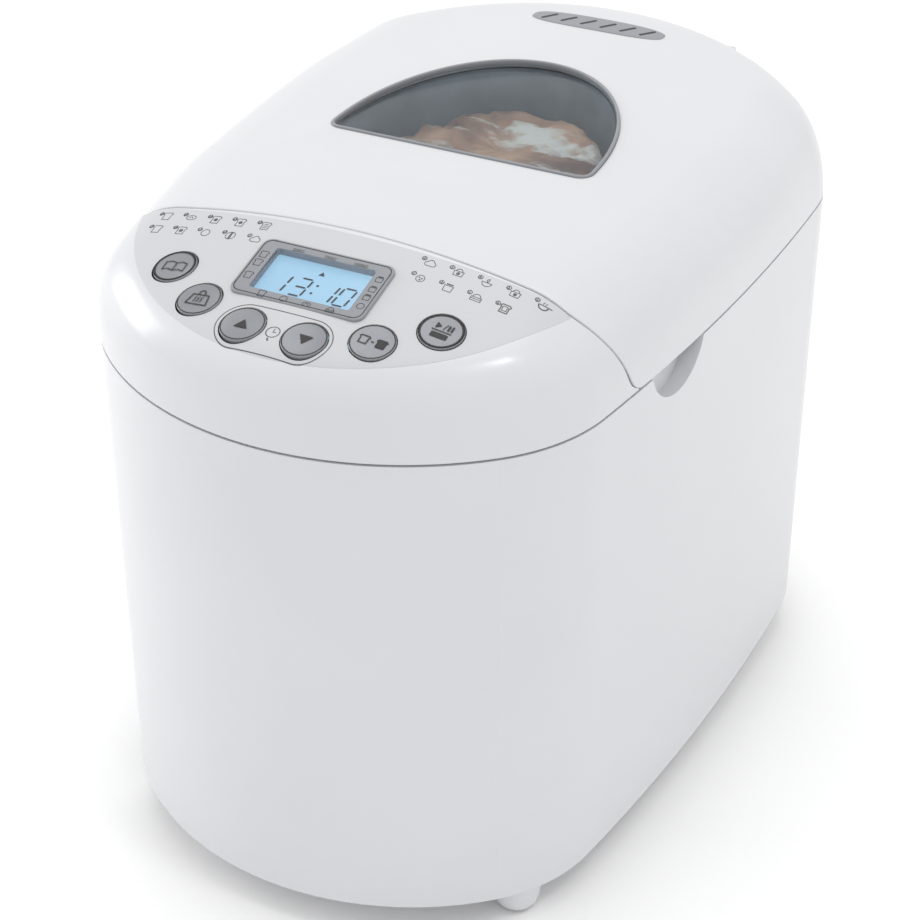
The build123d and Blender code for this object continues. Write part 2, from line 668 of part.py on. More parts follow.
def thermal_fuse():
    """Thermal cut-out clipped to the outside of the chamber."""
    wall_x = LINER_HALF[0]
    body = Pos(-wall_x - 3.2, CENTRE_Y, 110) * Rot(90, 0, 0) * Cylinder(3.0, 22)
    return body + block(-wall_x - 4, -wall_x, CENTRE_Y - 8, CENTRE_Y + 8, 105, 108)


def pan_socket():
    """Plate on the chamber floor with a low collar for the pan's base ring."""
    floor = LINER_FLOOR + LINER_SHEET
    plate = rounded_block((56.0, 52.0), 10.0, floor, floor + SOCKET_SHEET)
    collar = tube(50.0, 48.2, floor, floor + 5.0, 0, CENTRE_Y)
    return plate + collar - drum(20.0, 50, 70, 0, CENTRE_Y)


def pan_spring_clips():
    """Two leaf springs that grip the pan's base ring."""
    z0 = LINER_FLOOR + LINER_SHEET + SOCKET_SHEET
    leaf = [(55.0, z0), (52.0, z0), (52.0, z0 + 7), (47.0, z0 + 11), (50.5, z0 + 15),
            (51.5, z0 + 15), (48.4, z0 + 11), (53.0, z0 + 7.4), (53.0, z0 + 1.0), (55.0, z0 + 1.0)]
    clips = []
    for side in (-1, 1):
        profile = Plane.XZ * make_face(Polyline(*[(side * x, z) for x, z in leaf], close=True))
        clips.append(extrude(Pos(0, CENTRE_Y + 7, 0) * profile, amount=14, dir=(0, -1, 0)))
    return group(clips)


# ---------------------------------------------------------------- pan
def baking_pan():
    """Drafted pan with a rolled rim and two ears for the handle."""
    height = PAN_TOP - PAN_BOTTOM
    bottom_half = [half - height * sin(radians(PAN_DRAFT)) for half in PAN_TOP_HALF]
    outside = RectangleRounded(2 * bottom_half[0], 2 * bottom_half[1], 24.0)
    inside = offset(outside, -PAN_WALL)
    solid = extrude(Pos(0, CENTRE_Y, PAN_BOTTOM) * outside, amount=height, taper=-PAN_DRAFT)
    hollow = extrude(Pos(0, CENTRE_Y, PAN_BOTTOM + PAN_WALL) * inside, amount=height, taper=-PAN_DRAFT)
    rim_half = (PAN_TOP_HALF[0] + PAN_RIM, PAN_TOP_HALF[1] + PAN_RIM)
    pan = solid + rounded_block(rim_half, 30.0, PAN_TOP - 2.2, PAN_TOP)
    for side in (-1, 1):
        ear_x = sorted((side * (rim_half[0] - 2.5), side * rim_half[0]))
        pan += block(ear_x[0], ear_x[1], CENTRE_Y - 7, CENTRE_Y + 7, PAN_TOP - 2, BAIL_Z + 5)
    pan -= hollow
    pan -= Pos(0, CENTRE_Y, BAIL_Z) * Rot(0, 90, 0) * Cylinder(BAIL_WIRE_R + RUNNING_GAP, 300)
    return pan - drum(9.0, 60, 80, 0, CENTRE_Y)


def pan_base_ring():
    """Ring under the pan that drops into the socket."""
    bottom = LINER_FLOOR + LINER_SHEET + SOCKET_SHEET + 0.3
    return tube(46.5, 43.5, bottom, PAN_BOTTOM, 0, CENTRE_Y)


def pan_bush():
    """Bush and seal housing for the spindle, pressed into the pan's floor."""
    bush = drum(9.0, PAN_BOTTOM - 6, PAN_BOTTOM + 12, 0, CENTRE_Y)
    bush += drum(13.0, PAN_BOTTOM - 3, PAN_BOTTOM, 0, CENTRE_Y)
    return bush - drum(SHAFT_R + RUNNING_GAP, 60, 100, 0, CENTRE_Y)


def pan_handle():
    """Wire bail folded down round the front of the pan's rim."""
    side_x, reach = BAIL_HALF
    front = CENTRE_Y - reach
    pin_x = PAN_TOP_HALF[0] - 2.0
    points = [
        (pin_x, CENTRE_Y, BAIL_Z), (side_x, CENTRE_Y, BAIL_Z), (side_x, front, BAIL_Z),
        (-side_x, front, BAIL_Z), (-side_x, CENTRE_Y, BAIL_Z), (-pin_x, CENTRE_Y, BAIL_Z),
    ]
    path = FilletPolyline(*points, radius=[3.0, 30.0, 30.0, 3.0])
    return sweep(Plane(origin=path @ 0, z_dir=path % 0) * Circle(BAIL_WIRE_R), path=path)


def spindle_rod(radius, z0, z1, flat_from):
    """Shaft with a flat on one side above flat_from."""
    rod = drum(radius, z0, z1, 0, CENTRE_Y)
    flat_x = radius - FLAT_DEPTH
    return rod - block(flat_x, flat_x + 5, CENTRE_Y - 9, CENTRE_Y + 9, flat_from, z1 + 1)


def pan_spindle():
    """Spindle through the pan's floor."""
    return spindle_rod(SHAFT_R, SPINDLE_BOTTOM, SPINDLE_TOP, PADDLE_BOTTOM + 2)


def spindle_dog():
    """Cross bar under the spindle that the drive coupler turns."""
    bar = block(-13, 13, CENTRE_Y - 3.5, CENTRE_Y + 3.5, SPINDLE_BOTTOM, SPINDLE_BOTTOM + 5)
    bar += drum(6.5, SPINDLE_BOTTOM, SPINDLE_BOTTOM + 5, 0, CENTRE_Y)
    return bar - drum(SHAFT_R, 50, 80, 0, CENTRE_Y)


def kneading_paddle():
    """Hub with one raked wing, pushed on to the spindle."""
    z = PADDLE_BOTTOM
    hub = drum(9.0, z, SPINDLE_TOP + 4, 0, CENTRE_Y)
    wing = [
        (5, z), (40, z), (43, z + 4), (41, z + 14), (24, z + 30), (15, z + 44), (9, z + 46), (5, z + 40),
    ]
    blade = extrude(Plane.XZ * make_face(Polyline(*wing, close=True)), amount=2.5, both=True)
    paddle = hub + Pos(0, CENTRE_Y, 0) * blade
    gap = 0.08
    bore = spindle_rod(SHAFT_R + gap, z - 1, SPINDLE_TOP + gap, z + 2)
    return paddle - bore


# ---------------------------------------------------------------- drive
def chassis_plate():
    """Steel plate that carries motor, bearing housing and power board."""
    plate = prism(outline(14.0), CHASSIS_TOP - CHASSIS_SHEET, CHASSIS_TOP)
    plate = plate & block(-86, 86, -152, 78, 0, 100)
    plate += block(-56, -54, -140, -88, CHASSIS_TOP - CHASSIS_SHEET, 150)
    plate -= drum(15.2, 40, 60, 0, CENTRE_Y)
    plate -= drum(12.0, 40, 60, 0, MOTOR_Y)
    for x, y in CHASSIS_POSTS:
        plate -= drum(SCREW_R + 0.4, 40, 60, x, y)
    for x, y in motor_bolt_places():
        plate -= drum(MOTOR_BOLT_R + 0.3, 40, 60, x, y)
    return plate


def bearing_housing():
    """Flanged housing of the drive shaft, hanging through the chassis plate."""
    hub = drum(15.0, 38, 57.4, 0, CENTRE_Y) + drum(32.0, CHASSIS_TOP, CHASSIS_TOP + 3, 0, CENTRE_Y)
    return hub - drum(7.0, 30, 60, 0, CENTRE_Y)


def shaft_bushes():
    """Two plain bearings in the housing."""
    return group([tube(7.0, SHAFT_R + RUNNING_GAP, z, z + 7, 0, CENTRE_Y) for z in (38.5, 50.0)])


def drive_shaft():
    """Upright shaft between pulley and coupler."""
    return drum(SHAFT_R, 20, 62, 0, CENTRE_Y)


def drive_coupler():
    """Disc with two lugs that turn the spindle's cross bar."""
    disc = drum(14.5, 60.4, 63.4, 0, CENTRE_Y)
    for side in (-1, 1):
        disc += block(-4, 4, CENTRE_Y + side * 11 - 2.5, CENTRE_Y + side * 11 + 2.5, 61, 70)
    return disc - drum(SHAFT_R, 50, 62, 0, CENTRE_Y)


def pulley(groove_r, y, hub_r, bore_r):
    """Flat-groove pulley between two flanges."""
    z0, z1 = PULLEY_Z
    wheel = drum(groove_r, z0, z1, 0, y)
    wheel += drum(groove_r + FLANGE_HEIGHT, z0, z0 + 1, 0, y)
    wheel += drum(groove_r + FLANGE_HEIGHT, z1 - 1, z1, 0, y)
    wheel += drum(hub_r, z0 - 2, z1 + 1.5, 0, y)
    return wheel - drum(bore_r, 0, 60, 0, y)


def driven_pulley():
    """Large pulley on the drive shaft, with a thin web and six holes."""
    wheel = pulley(DRIVEN_GROOVE_R, CENTRE_Y, 10.0, SHAFT_R)
    z0, z1 = PULLEY_Z
    wheel -= tube(DRIVEN_GROOVE_R - 4, 13.0, z0 - 1, z0 + 3, 0, CENTRE_Y)
    wheel -= tube(DRIVEN_GROOVE_R - 4, 13.0, z1 - 3, z1 + 1, 0, CENTRE_Y)
    for index in range(6):
        angle = radians(60 * index)
        wheel -= drum(9.0, 0, 60, 33 * cos(angle), CENTRE_Y + 33 * sin(angle))
    return wheel


def motor_pulley():
    """Small pulley on the motor shaft."""
    return pulley(MOTOR_GROOVE_R, MOTOR_Y, 7.0, MOTOR_SHAFT_R)


def belt_loop(extra):
    """Outline of a belt round both pulleys, extra outside the groove radii."""
    small, large = MOTOR_GROOVE_R + extra, DRIVEN_GROOVE_R + extra
    lean = acos((large - small) / (CENTRE_Y - MOTOR_Y))
    nx, ny = sin(lean), -cos(lean)
    low, high = (small * nx, MOTOR_Y + small * ny), (large * nx, CENTRE_Y + large * ny)
    return make_face([
        Line(low, high), ThreePointArc(high, (0, CENTRE_Y + large), (-high[0], high[1])),
        Line((-high[0], high[1]), (-low[0], low[1])),
        ThreePointArc((-low[0], low[1]), (0, MOTOR_Y - small), low),
    ])


def drive_belt():
    """Flat belt round the two pulleys."""
    z0, z1 = PULLEY_Z[0] + 1.3, PULLEY_Z[1] - 1.3
    return prism(belt_loop(BELT_GAP + BELT_THICKNESS) - belt_loop(BELT_GAP), z0, z1)


def motor_bolt_places():
    """Plan places of the four long motor bolts."""
    half = (-MOTOR_BOLT_HALF, MOTOR_BOLT_HALF)
    return [(x, MOTOR_Y + y) for x in half for y in half]


def motor_stator():
    """Square stack of laminations."""
    stack = block(-STATOR_HALF, STATOR_HALF, MOTOR_Y - STATOR_HALF, MOTOR_Y + STATOR_HALF, *STATOR_Z)
    stack -= drum(20.0, 60, 130, 0, MOTOR_Y)
    for x, y in motor_bolt_places():
        stack -= drum(MOTOR_BOLT_R + 0.1, 60, 130, x, y)
    return stack


def motor_coils():
    """End turns of the windings above and below the stack."""
    z0, z1 = STATOR_Z
    return group([tube(31, 22, z0 - 7, z0, 0, MOTOR_Y), tube(31, 22, z1, z1 + 7, 0, MOTOR_Y)])


def motor_bracket(z_plate, z_post, z_hub):
    """End bracket: square plate, four corner posts and a bearing hub."""
    half = STATOR_HALF
    plate = block(-half, half, MOTOR_Y - half, MOTOR_Y + half, z_plate, z_plate + 3)
    plate -= tube(28, 14, z_plate, z_plate + 3, 0, MOTOR_Y) - block(-4, 4, -300, 300, 0, 300)
    for x, y in motor_bolt_places():
        plate += drum(5.0, z_post[0], z_post[1], x, y)
    for x, y in motor_bolt_places():
        plate -= drum(MOTOR_BOLT_R + 0.1, 40, 150, x, y)
    plate += drum(10.0, z_hub[0], z_hub[1], 0, MOTOR_Y)
    return plate - drum(MOTOR_SHAFT_R + RUNNING_GAP, 40, 150, 0, MOTOR_Y)


def motor_brackets():
    """Lower and upper end brackets of the motor."""
    lower = motor_bracket(64, (CHASSIS_TOP, STATOR_Z[0]), (58, 70))
    upper = motor_bracket(121, (STATOR_Z[1], 124), (117, 128))
    return group([lower, upper])


def motor_bolts():
    """Four through bolts that clamp the motor to the chassis."""
    bolts = []
    for x, y in motor_bolt_places():
        nut = drum(3.5, 46, CHASSIS_TOP - CHASSIS_SHEET, x, y)
        bolts.append(drum(MOTOR_BOLT_R, 46, 124, x, y) + drum(3.5, 124, 127, x, y) + nut)
    return group(bolts)


def motor_shaft():
    """Motor shaft."""
    return drum(MOTOR_SHAFT_R, 20, 142, 0, MOTOR_Y)


def motor_rotor():
    """Cage rotor."""
    return tube(19.5, MOTOR_SHAFT_R, STATOR_Z[0] - 4, STATOR_Z[1] + 4, 0, MOTOR_Y)


def motor_fan():
    """Cooling fan above the motor."""
    fan = drum(8.0, 130, 141, 0, MOTOR_Y) + drum(30.0, 130, 131.5, 0, MOTOR_Y)
    for index in range(8):
        blade = Pos(0, MOTOR_Y, 0) * Rot(0, 0, 45 * index) * block(7, 29, -0.8, 0.8, 131, 140)
        fan += blade
    return fan - drum(MOTOR_SHAFT_R, 120, 150, 0, MOTOR_Y)


def motor_capacitor():
    """Run capacitor standing on the chassis plate."""
    can = drum(13.0, CHASSIS_TOP, CHASSIS_TOP + 44, 62, -112)
    return fillet(can.edges().group_by(Axis.Z)[-1], 2.0)


def power_board():
    """Mains circuit board on four spacers beside the motor."""
    board = block(-61.6, -60, -138, -90, 60, 146)
    for y in (-132, -96):
        for z in (68, 138):
            board += Pos(-58, y, z) * Rot(0, 90, 0) * Cylinder(3.0, 4)
    return board


def board_components():
    """Transformer, relay, terminal block and two capacitors on the power board."""
    x = -61.6
    parts = [
        block(x - 20, x, -124, -98, 66, 96), block(x - 15, x, -128, -110, 104, 122),
        block(x - 10, x, -124, -94, 130, 140),
    ]
    for y, z in ((-101, 108), (-101, 120)):
        parts.append(Pos(x - 7, y, z) * Rot(0, 90, 0) * Cylinder(4.5, 14))
    return group(parts)


def base_screws():
    """Four screws through the base plate into the casing."""
    return group([screw(x, y, BODY_BOTTOM, 26, up=True) for x, y in SHELL_BOSSES])


def chassis_screws():
    """Four screws through the chassis plate into the base plate's posts."""
    return group([screw(x, y, CHASSIS_TOP, 16) for x, y in CHASSIS_POSTS])


# ---------------------------------------------------------------- all nodes
def all_nodes():
    """Every node's name with the function that makes it."""
    makers = [
        base_plate, feet, foot_pads, body_shell, cord_gland, top_cover, hinge_pins, panel_overlay,
        display_bezel, display_window, lcd_module, control_board, tact_switches, oven_liner,
        heating_element, element_clips, element_terminals, temperature_sensor, thermal_fuse,
        pan_socket, pan_spring_clips, chassis_plate, bearing_housing, shaft_bushes, drive_belt,
        motor_stator, motor_coils, motor_brackets, motor_bolts, motor_capacitor, power_board,
        board_components, base_screws, chassis_screws, drive_shaft, drive_coupler, driven_pulley, motor_shaft, motor_rotor, motor_pulley, motor_fan, baking_pan,
        pan_base_ring, pan_bush, pan_handle, pan_spindle, spindle_dog, kneading_paddle, lid_shell,
        window_gasket, lid_window, lid_liner, lid_vent_grille, lid_screws,
    ]
    nodes = {maker.__name__: maker for maker in makers}
    for name, (x, y) in BUTTONS.items():
        nodes[name] = lambda x=x, y=y: button(x, y)
    return nodes


def main():
    """Write one STEP file per node."""
    os.makedirs("parts", exist_ok=True)
    for name, maker in all_nodes().items():
        shape = maker()
        export_step(shape, os.path.join("parts", name + ".step"))


main()
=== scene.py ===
"""Looks of the bread machine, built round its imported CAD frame."""
import json
import math

import bmesh
import bpy
import numpy as np
from bpy.props import FloatProperty, FloatVectorProperty, PointerProperty
from mathutils import Matrix, Vector


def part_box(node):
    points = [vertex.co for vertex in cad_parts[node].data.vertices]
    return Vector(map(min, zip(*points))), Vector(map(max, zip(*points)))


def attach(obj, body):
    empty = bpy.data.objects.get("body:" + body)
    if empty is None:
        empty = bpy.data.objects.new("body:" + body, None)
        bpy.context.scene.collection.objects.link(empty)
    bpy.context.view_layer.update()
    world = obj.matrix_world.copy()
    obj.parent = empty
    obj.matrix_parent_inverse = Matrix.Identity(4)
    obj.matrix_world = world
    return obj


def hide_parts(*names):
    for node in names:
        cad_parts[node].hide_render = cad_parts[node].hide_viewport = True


bl_info = {
    "name": "Bread machine",
    "version": (1, 0, 0),
    "blender": (4, 5, 0),
    "location": "3D Viewport > Sidebar > Bread machine",
    "description": "Builds the shells, controls, window and loaf of a bread machine",
    "category": "Object",
}

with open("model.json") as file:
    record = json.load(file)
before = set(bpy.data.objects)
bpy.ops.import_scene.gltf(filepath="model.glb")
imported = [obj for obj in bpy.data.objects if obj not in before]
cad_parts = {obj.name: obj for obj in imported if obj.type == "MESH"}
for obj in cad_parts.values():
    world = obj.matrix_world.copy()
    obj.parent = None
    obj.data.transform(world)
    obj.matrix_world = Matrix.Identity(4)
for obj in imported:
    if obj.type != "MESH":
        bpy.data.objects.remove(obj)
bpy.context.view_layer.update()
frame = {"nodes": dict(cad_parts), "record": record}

# ------------------------------------------------------------------ shape, in millimetres
MM = 0.001

# Plan outline: arcs of the right half from the front centre round to the flank, as (radius, degrees).
FRONT_Y = -172.2
OUTLINE_ARCS = [(121.6, 42.4), (67.8, 39.0), (1066.0, 10.7), (44.2, 40.6)]
SEAM_Z = 221.6

# Rounding of the top edge, as (reach inwards, fall): at the front, its corners, the sides and the back.
ROUND_POWER = 2.18
ROUND_FRONT, ROUND_CORNER, ROUND_SIDE, ROUND_BACK = (15.5, 18.5), (17.9, 22.8), (31.8, 29.7), (33.2, 49.0)

# Control panel: a sloping surface with a crown across it.
PANEL_Y, PANEL_Z, PANEL_SLOPE, PANEL_CROWN = -125.2, 265.05, 0.2642, 0.0012
FILM_R = 94.0

# Lid roof, the flat half-oval area round its window, and the side view of its front edge.
LID_FRONT_Y, LID_FRONT_Z = -97.0, 272.5
LID_RISE, LID_DIP, LID_CROWN = 0.0112, 3.5, 0.00045
PLATEAU_Y, PLATEAU_Z, PLATEAU_SLOPE = -10.0, 268.6, 0.0314
PLATEAU = (80.0, 148.0, -34.0)
EDGE_SLANT_Y, EDGE_SLANT_Z, EDGE_SLANT = -82.0, 227.0, -0.52
EDGE_UPPER_Y, EDGE_UPPER_Z, EDGE_UPPER = -99.0, 262.0, 0.19
EDGE_GAP = 0.7

# Window: half width, depth, front edge in Y and corner radius; vent: half sizes and its slots, which are
# painted on as dark shade marks, not cut.
WINDOW = (56.8, 90.6, -14.0, 5.0)
WINDOW_CENTRE_Y = 45.0
VENT_Y, VENT_HALF = 125.0, (31.0, 6.6)
VENT_SLOT_REACH, VENT_SLOT_HALF, VENT_SLOT_W, VENT_SLOTS = 23.2, (2.1, 2.7), 1.6, 6

# Shell walls, chamber deck, finger scoops and hinge.
WALL, ROLLED_LIP = 2.3, 0.7
CENTRE_Y = 28.0
DECK = (216.6, 219.8)
DECK_OPENING = (88.0, 90.0, 30.0)
DECK_INSET = 2.9
SCOOP_Y, SCOOP_HALF, SCOOP_DEPTH = -46.0, 24.0, 9.4
NOTCH_HALF, NOTCH_TOP = 65.0, 250.0
HINGE_Y, HINGE_Z, HINGE_R, CHEEK_RISE = 156.0, 232.0, 12.0, 8.5
HINGE_ARM = (41.0, 52.0, 7.0)
BACK_R, BACK_CENTRE_Y = 140.0, 32.1
HINGE_BARS = ((-39.5, 39.5, HINGE_R), (53.5, 64.0, CHEEK_RISE), (-64.0, -53.5, CHEEK_RISE))

# Feet: the outer radius, the X of the rear pair, and profiles as (radius, height).
FOOT_R, REAR_FOOT_X = 10.0, 78.0
LEG = ((10.0, 15.7), (10.0, 12.5), (9.85, 9.5), (9.4, 6.5), (8.6, 4.2), (7.4, 2.4), (6.0, 1.5), (5.4, 1.4))
PAD = ((5.2, 1.6), (5.2, 0.7), (5.0, 0.2), (4.6, 0.0))

# Display and buttons: half sizes with a corner radius, and the buttons' centres in plan.
BEZEL = (27.0, 15.0, 4.0)
SCREEN = (20.25, 10.75, 1.0)
BUTTON_R = 8.4
BUTTONS = {
    "button_menu": (-54.2, -131.0),
    "button_weight": (-35.0, -145.4),
    "button_up": (-12.4, -153.1),
    "button_down": (12.4, -153.1),
    "button_browning": (35.0, -145.4),
    "button_start_stop": (54.2, -131.0),
}
CAP_PROFILE = ((0.02, 0.62), (3.0, 0.64), (5.5, 0.72), (7.2, 0.84), (7.7, 0.90), (8.05, 0.86), (8.28, 0.70),
               (BUTTON_R, 0.45), (BUTTON_R, -1.5), (BUTTON_R, -3.4))
CAP_SINK = 0.3

# Loaf: half sizes, the height where its dome starts, and the hollow over the paddle.
LOAF_HALF_X, LOAF_HALF_Y, LOAF_WAIST_Z, LOAF_FLOOR_Z, LOAF_TOP_Z = 69.5, 77.0, 186.0, 80.0, 252.4
LOAF_DRAFT, LOAF_SQUARENESS = 0.0437, 0.42
HOLLOW_R, HOLLOW_TOP_Z = 47.0, 170.0

# ------------------------------------------------------------------ small maths


def ease(t):
    """Smooth step from 0 to 1."""
    t = np.clip(t, 0, 1)
    return t * t * (3 - 2 * t)


def mix(a, b, t):
    """Value between a and b."""
    return a + (b - a) * t


def smooth_max(a, b, k):
    """Larger of two values, rounded over a width k where they meet."""
    return 0.5 * (a + b + np.sqrt((a - b) ** 2 + k * k))


def arc_table():
    """Centre, radius and headings of the arcs of the right half of the plan outline."""
    rows = []
    x, y, heading = 0.0, FRONT_Y, 0.0
    for radius, turn in OUTLINE_ARCS + [(None, None)]:
        if radius is None:
            radius, swing = x / math.sin(heading), math.pi - heading
        else:
            swing = math.radians(turn)
        centre_x, centre_y = x - radius * math.sin(heading), y + radius * math.cos(heading)
        rows.append((centre_x, centre_y, radius, heading, heading + swing))
        heading += swing
        x, y = centre_x + radius * math.sin(heading), centre_y - radius * math.cos(heading)
    return np.array(rows)


ARCS = arc_table()


def outline_at(heading):
    """Outline point and outward normal; heading 0 is the front centre, pi the back centre."""
    right = heading <= math.pi
    turn = np.where(right, heading, 2 * math.pi - heading)
    index = np.clip(np.searchsorted(ARCS[:, 4], turn), 0, len(ARCS) - 1)
    centre_x, centre_y, radius = ARCS[index, 0], ARCS[index, 1], ARCS[index, 2]
    side = np.where(right, 1.0, -1.0)
    x = (centre_x + radius * np.sin(turn)) * side
    y = centre_y - radius * np.cos(turn)
    return np.stack([x, y], -1), np.stack([np.sin(turn) * side, -np.cos(turn)], -1)


def even_headings(count, start=0.0, end=2 * math.pi):
    """Headings that are evenly spaced along the outline."""
    dense = np.linspace(start, end, 8000)
    points = outline_at(np.mod(dense, 2 * math.pi))[0]
    length = np.concatenate([[0], np.cumsum(np.hypot(*np.diff(points, axis=0).T))])
    return np.mod(np.interp(np.linspace(0, length[-1], count), length, dense), 2 * math.pi)


def inset_of(x, y):
    """Distance from the plan outline to a point inside it."""
    best = np.full(np.shape(x), 1000.0)
    for centre_x, centre_y, radius, start, end in ARCS:
        across, along = np.abs(x) - centre_x, y - centre_y
        heading = np.arctan2(across, -along)
        depth = radius - np.hypot(across, along)
        facing = (heading >= start - 1e-6) & (heading <= end + 1e-6)
        best = np.where(facing, np.minimum(best, depth), best)
    return best


def shoulder(x, y, top):
    """Top surface, falling to the walls in a superellipse whose size changes from front to back."""
    wide = ease((np.abs(x) - 40) / 50)
    side, back = ease((y + 130) / 38), ease((y - 45) / 68)
    sizes = zip(ROUND_FRONT, ROUND_CORNER, ROUND_SIDE, ROUND_BACK)
    reach, fall = (mix(mix(mix(front, corner, wide), flank, side), rear, back)
                   for front, corner, flank, rear in sizes)
    t = np.clip(1 - inset_of(x, y) / reach, 0, 1)
    return top - fall * (1 - (1 - t**ROUND_POWER) ** (1 / ROUND_POWER))


def panel_height(x, y):
    """Crowned control panel, sloping up to the back."""
    return PANEL_Z + PANEL_SLOPE * (y - PANEL_Y) - PANEL_CROWN * x * x


def housing_height(x, y):
    """Control housing: the panel with its rounded shoulder."""
    return shoulder(x, y, panel_height(x, y))


def plateau_height(y):
    """Flat area round the window, rising gently to the back."""
    return PLATEAU_Z + PLATEAU_SLOPE * (y - PLATEAU_Y)


def lid_height(x, y):
    """Lid roof: a low crown, with a flat half-oval area round the window."""
    behind = y - LID_FRONT_Y
    crown = mix(PANEL_CROWN, LID_CROWN, ease(behind / 60))
    roof = LID_FRONT_Z + LID_RISE * behind - LID_DIP * ease(behind / 70) - crown * x * x
    roof = -smooth_max(-roof, -panel_height(x, y), 0.4)
    half_x, half_y, base = PLATEAU
    oval = np.sqrt((x / half_x) ** 2 + (np.maximum(y - base, 0) / half_y) ** 2)
    inside = ease((1 - oval) * half_x / 13 + 0.5) * ease((y - base + 16) / 34)
    return shoulder(x, y, mix(roof, np.minimum(plateau_height(y), roof), inside))


def lid_edge(z):
    """Side view of the line where lid and control housing meet: Y at height z."""
    slant = EDGE_SLANT_Y + EDGE_SLANT * (z - EDGE_SLANT_Z)
    upper = EDGE_UPPER_Y + EDGE_UPPER * (z - EDGE_UPPER_Z)
    corner = 6.0 * np.exp(-(z - SEAM_Z) / 2.0)
    return smooth_max(slant, upper, 1.0) + corner


def resample(path, count, tail=0, level=0.0):
    """Points spaced evenly along each polyline; the last tail points lie below a level, if it is met."""
    step = np.linalg.norm(np.diff(path, axis=1), axis=2)
    run = np.concatenate([np.zeros((len(path), 1)), np.cumsum(step, axis=1)], axis=1)
    want = np.linspace(0, 1, count)[None, :] * run[:, -1:]
    if tail:
        under = path[..., 2] < level
        first = np.where(under.any(1), under.argmax(1), path.shape[1] - 1)
        knee = np.minimum(run[np.arange(len(path)), first], 0.98 * run[:, -1])[:, None]
        upper = np.linspace(0, 1, count - tail)[None, :] * knee
        lower = mix(knee, run[:, -1:], np.linspace(0, 1, tail + 1)[None, 1:])
        want = np.concatenate([upper, lower], 1)
    after = (run[:, None, :] < want[:, :, None]).sum(2).clip(1, path.shape[1] - 1)
    low = np.take_along_axis(run, after - 1, 1)
    high = np.take_along_axis(run, after, 1)
    part = ((want - low) / np.maximum(high - low, 1e-9))[..., None]
    first = np.take_along_axis(path, (after - 1)[..., None], 1)
    second = np.take_along_axis(path, after[..., None], 1)
    return mix(first, second, np.clip(part, 0, 1))


def stop_at(path, level):
    """Hold every polyline at the place where its level first falls below zero."""
    below = level < 0
    stop = np.where(below.any(1), below.argmax(1), path.shape[1] - 1).clip(1)
    rows = np.arange(len(path))
    high, low = level[rows, stop - 1], level[rows, stop]
    part = np.clip(high / np.maximum(high - low, 1e-9), 0, 1)[:, None]
    end = mix(path[rows, stop - 1], path[rows, stop], part)
    index = np.arange(path.shape[1])[None, :, None]
    return np.where(index < stop[:, None, None], path, end[:, None, :])


def grid_normals(grid, wrap):
    """Unit normals of a grid of points; wrap closes its first direction."""
    if wrap:
        along = np.roll(grid, -1, 0) - np.roll(grid, 1, 0)
    else:
        along = np.gradient(grid, axis=0)
    across = np.gradient(grid, axis=1)
    normal = np.cross(along, across)
    return normal / np.maximum(np.linalg.norm(normal, axis=2, keepdims=True), 1e-9)


def thicken(grid, wall, lip, wrap):
    """Closed section of a shell: outer points, rolled ends of radius lip, and an inner copy."""
    normal = grid_normals(grid, wrap)
    if normal[:, :, 2].mean() < 0:
        normal = -normal
    turns = np.radians([30, 60, 90])
    start_way, end_way = grid[:, 0] - grid[:, 1], grid[:, -1] - grid[:, -2]
    ends = []
    for edge, way, out in ((grid[:, 0], start_way, normal[:, 0]), (grid[:, -1], end_way, normal[:, -1])):
        way = way / np.maximum(np.linalg.norm(way, axis=1, keepdims=True), 1e-9)
        ends.append([edge + lip * math.sin(a) * way - lip * (1 - math.cos(a)) * out for a in turns])
    inner = grid - wall * normal
    inner[:, 0] += lip * start_way / np.maximum(np.linalg.norm(start_way, axis=1, keepdims=True), 1e-9)
    inner[:, -1] += lip * end_way / np.maximum(np.linalg.norm(end_way, axis=1, keepdims=True), 1e-9)
    start = np.stack(ends[0][::-1], 1)
    end = np.stack(ends[1], 1)
    return np.concatenate([start, grid, end, inner[:, ::-1]], axis=1)


# ------------------------------------------------------------------ meshes and pieces


def quads(rows, columns, wrap_rows, wrap_columns):
    """Corner indices of the faces of a grid."""
    row = np.arange(rows if wrap_rows else rows - 1)[:, None]
    column = np.arange(columns if wrap_columns else columns - 1)[None, :]
    next_row, next_column = (row + 1) % rows, (column + 1) % columns
    faces = [row * columns + column, row * columns + next_column,
             next_row * columns + next_column, next_row * columns + column]
    return np.stack(np.broadcast_arrays(*faces), -1).reshape(-1, 4)


def with_caps(grid):
    """Grid with its first and last rows closed to their middle points."""
    first = np.broadcast_to(grid[0].mean(0), grid[0].shape)
    last = np.broadcast_to(grid[-1].mean(0), grid[-1].shape)
    return np.concatenate([first[None], grid, last[None]])


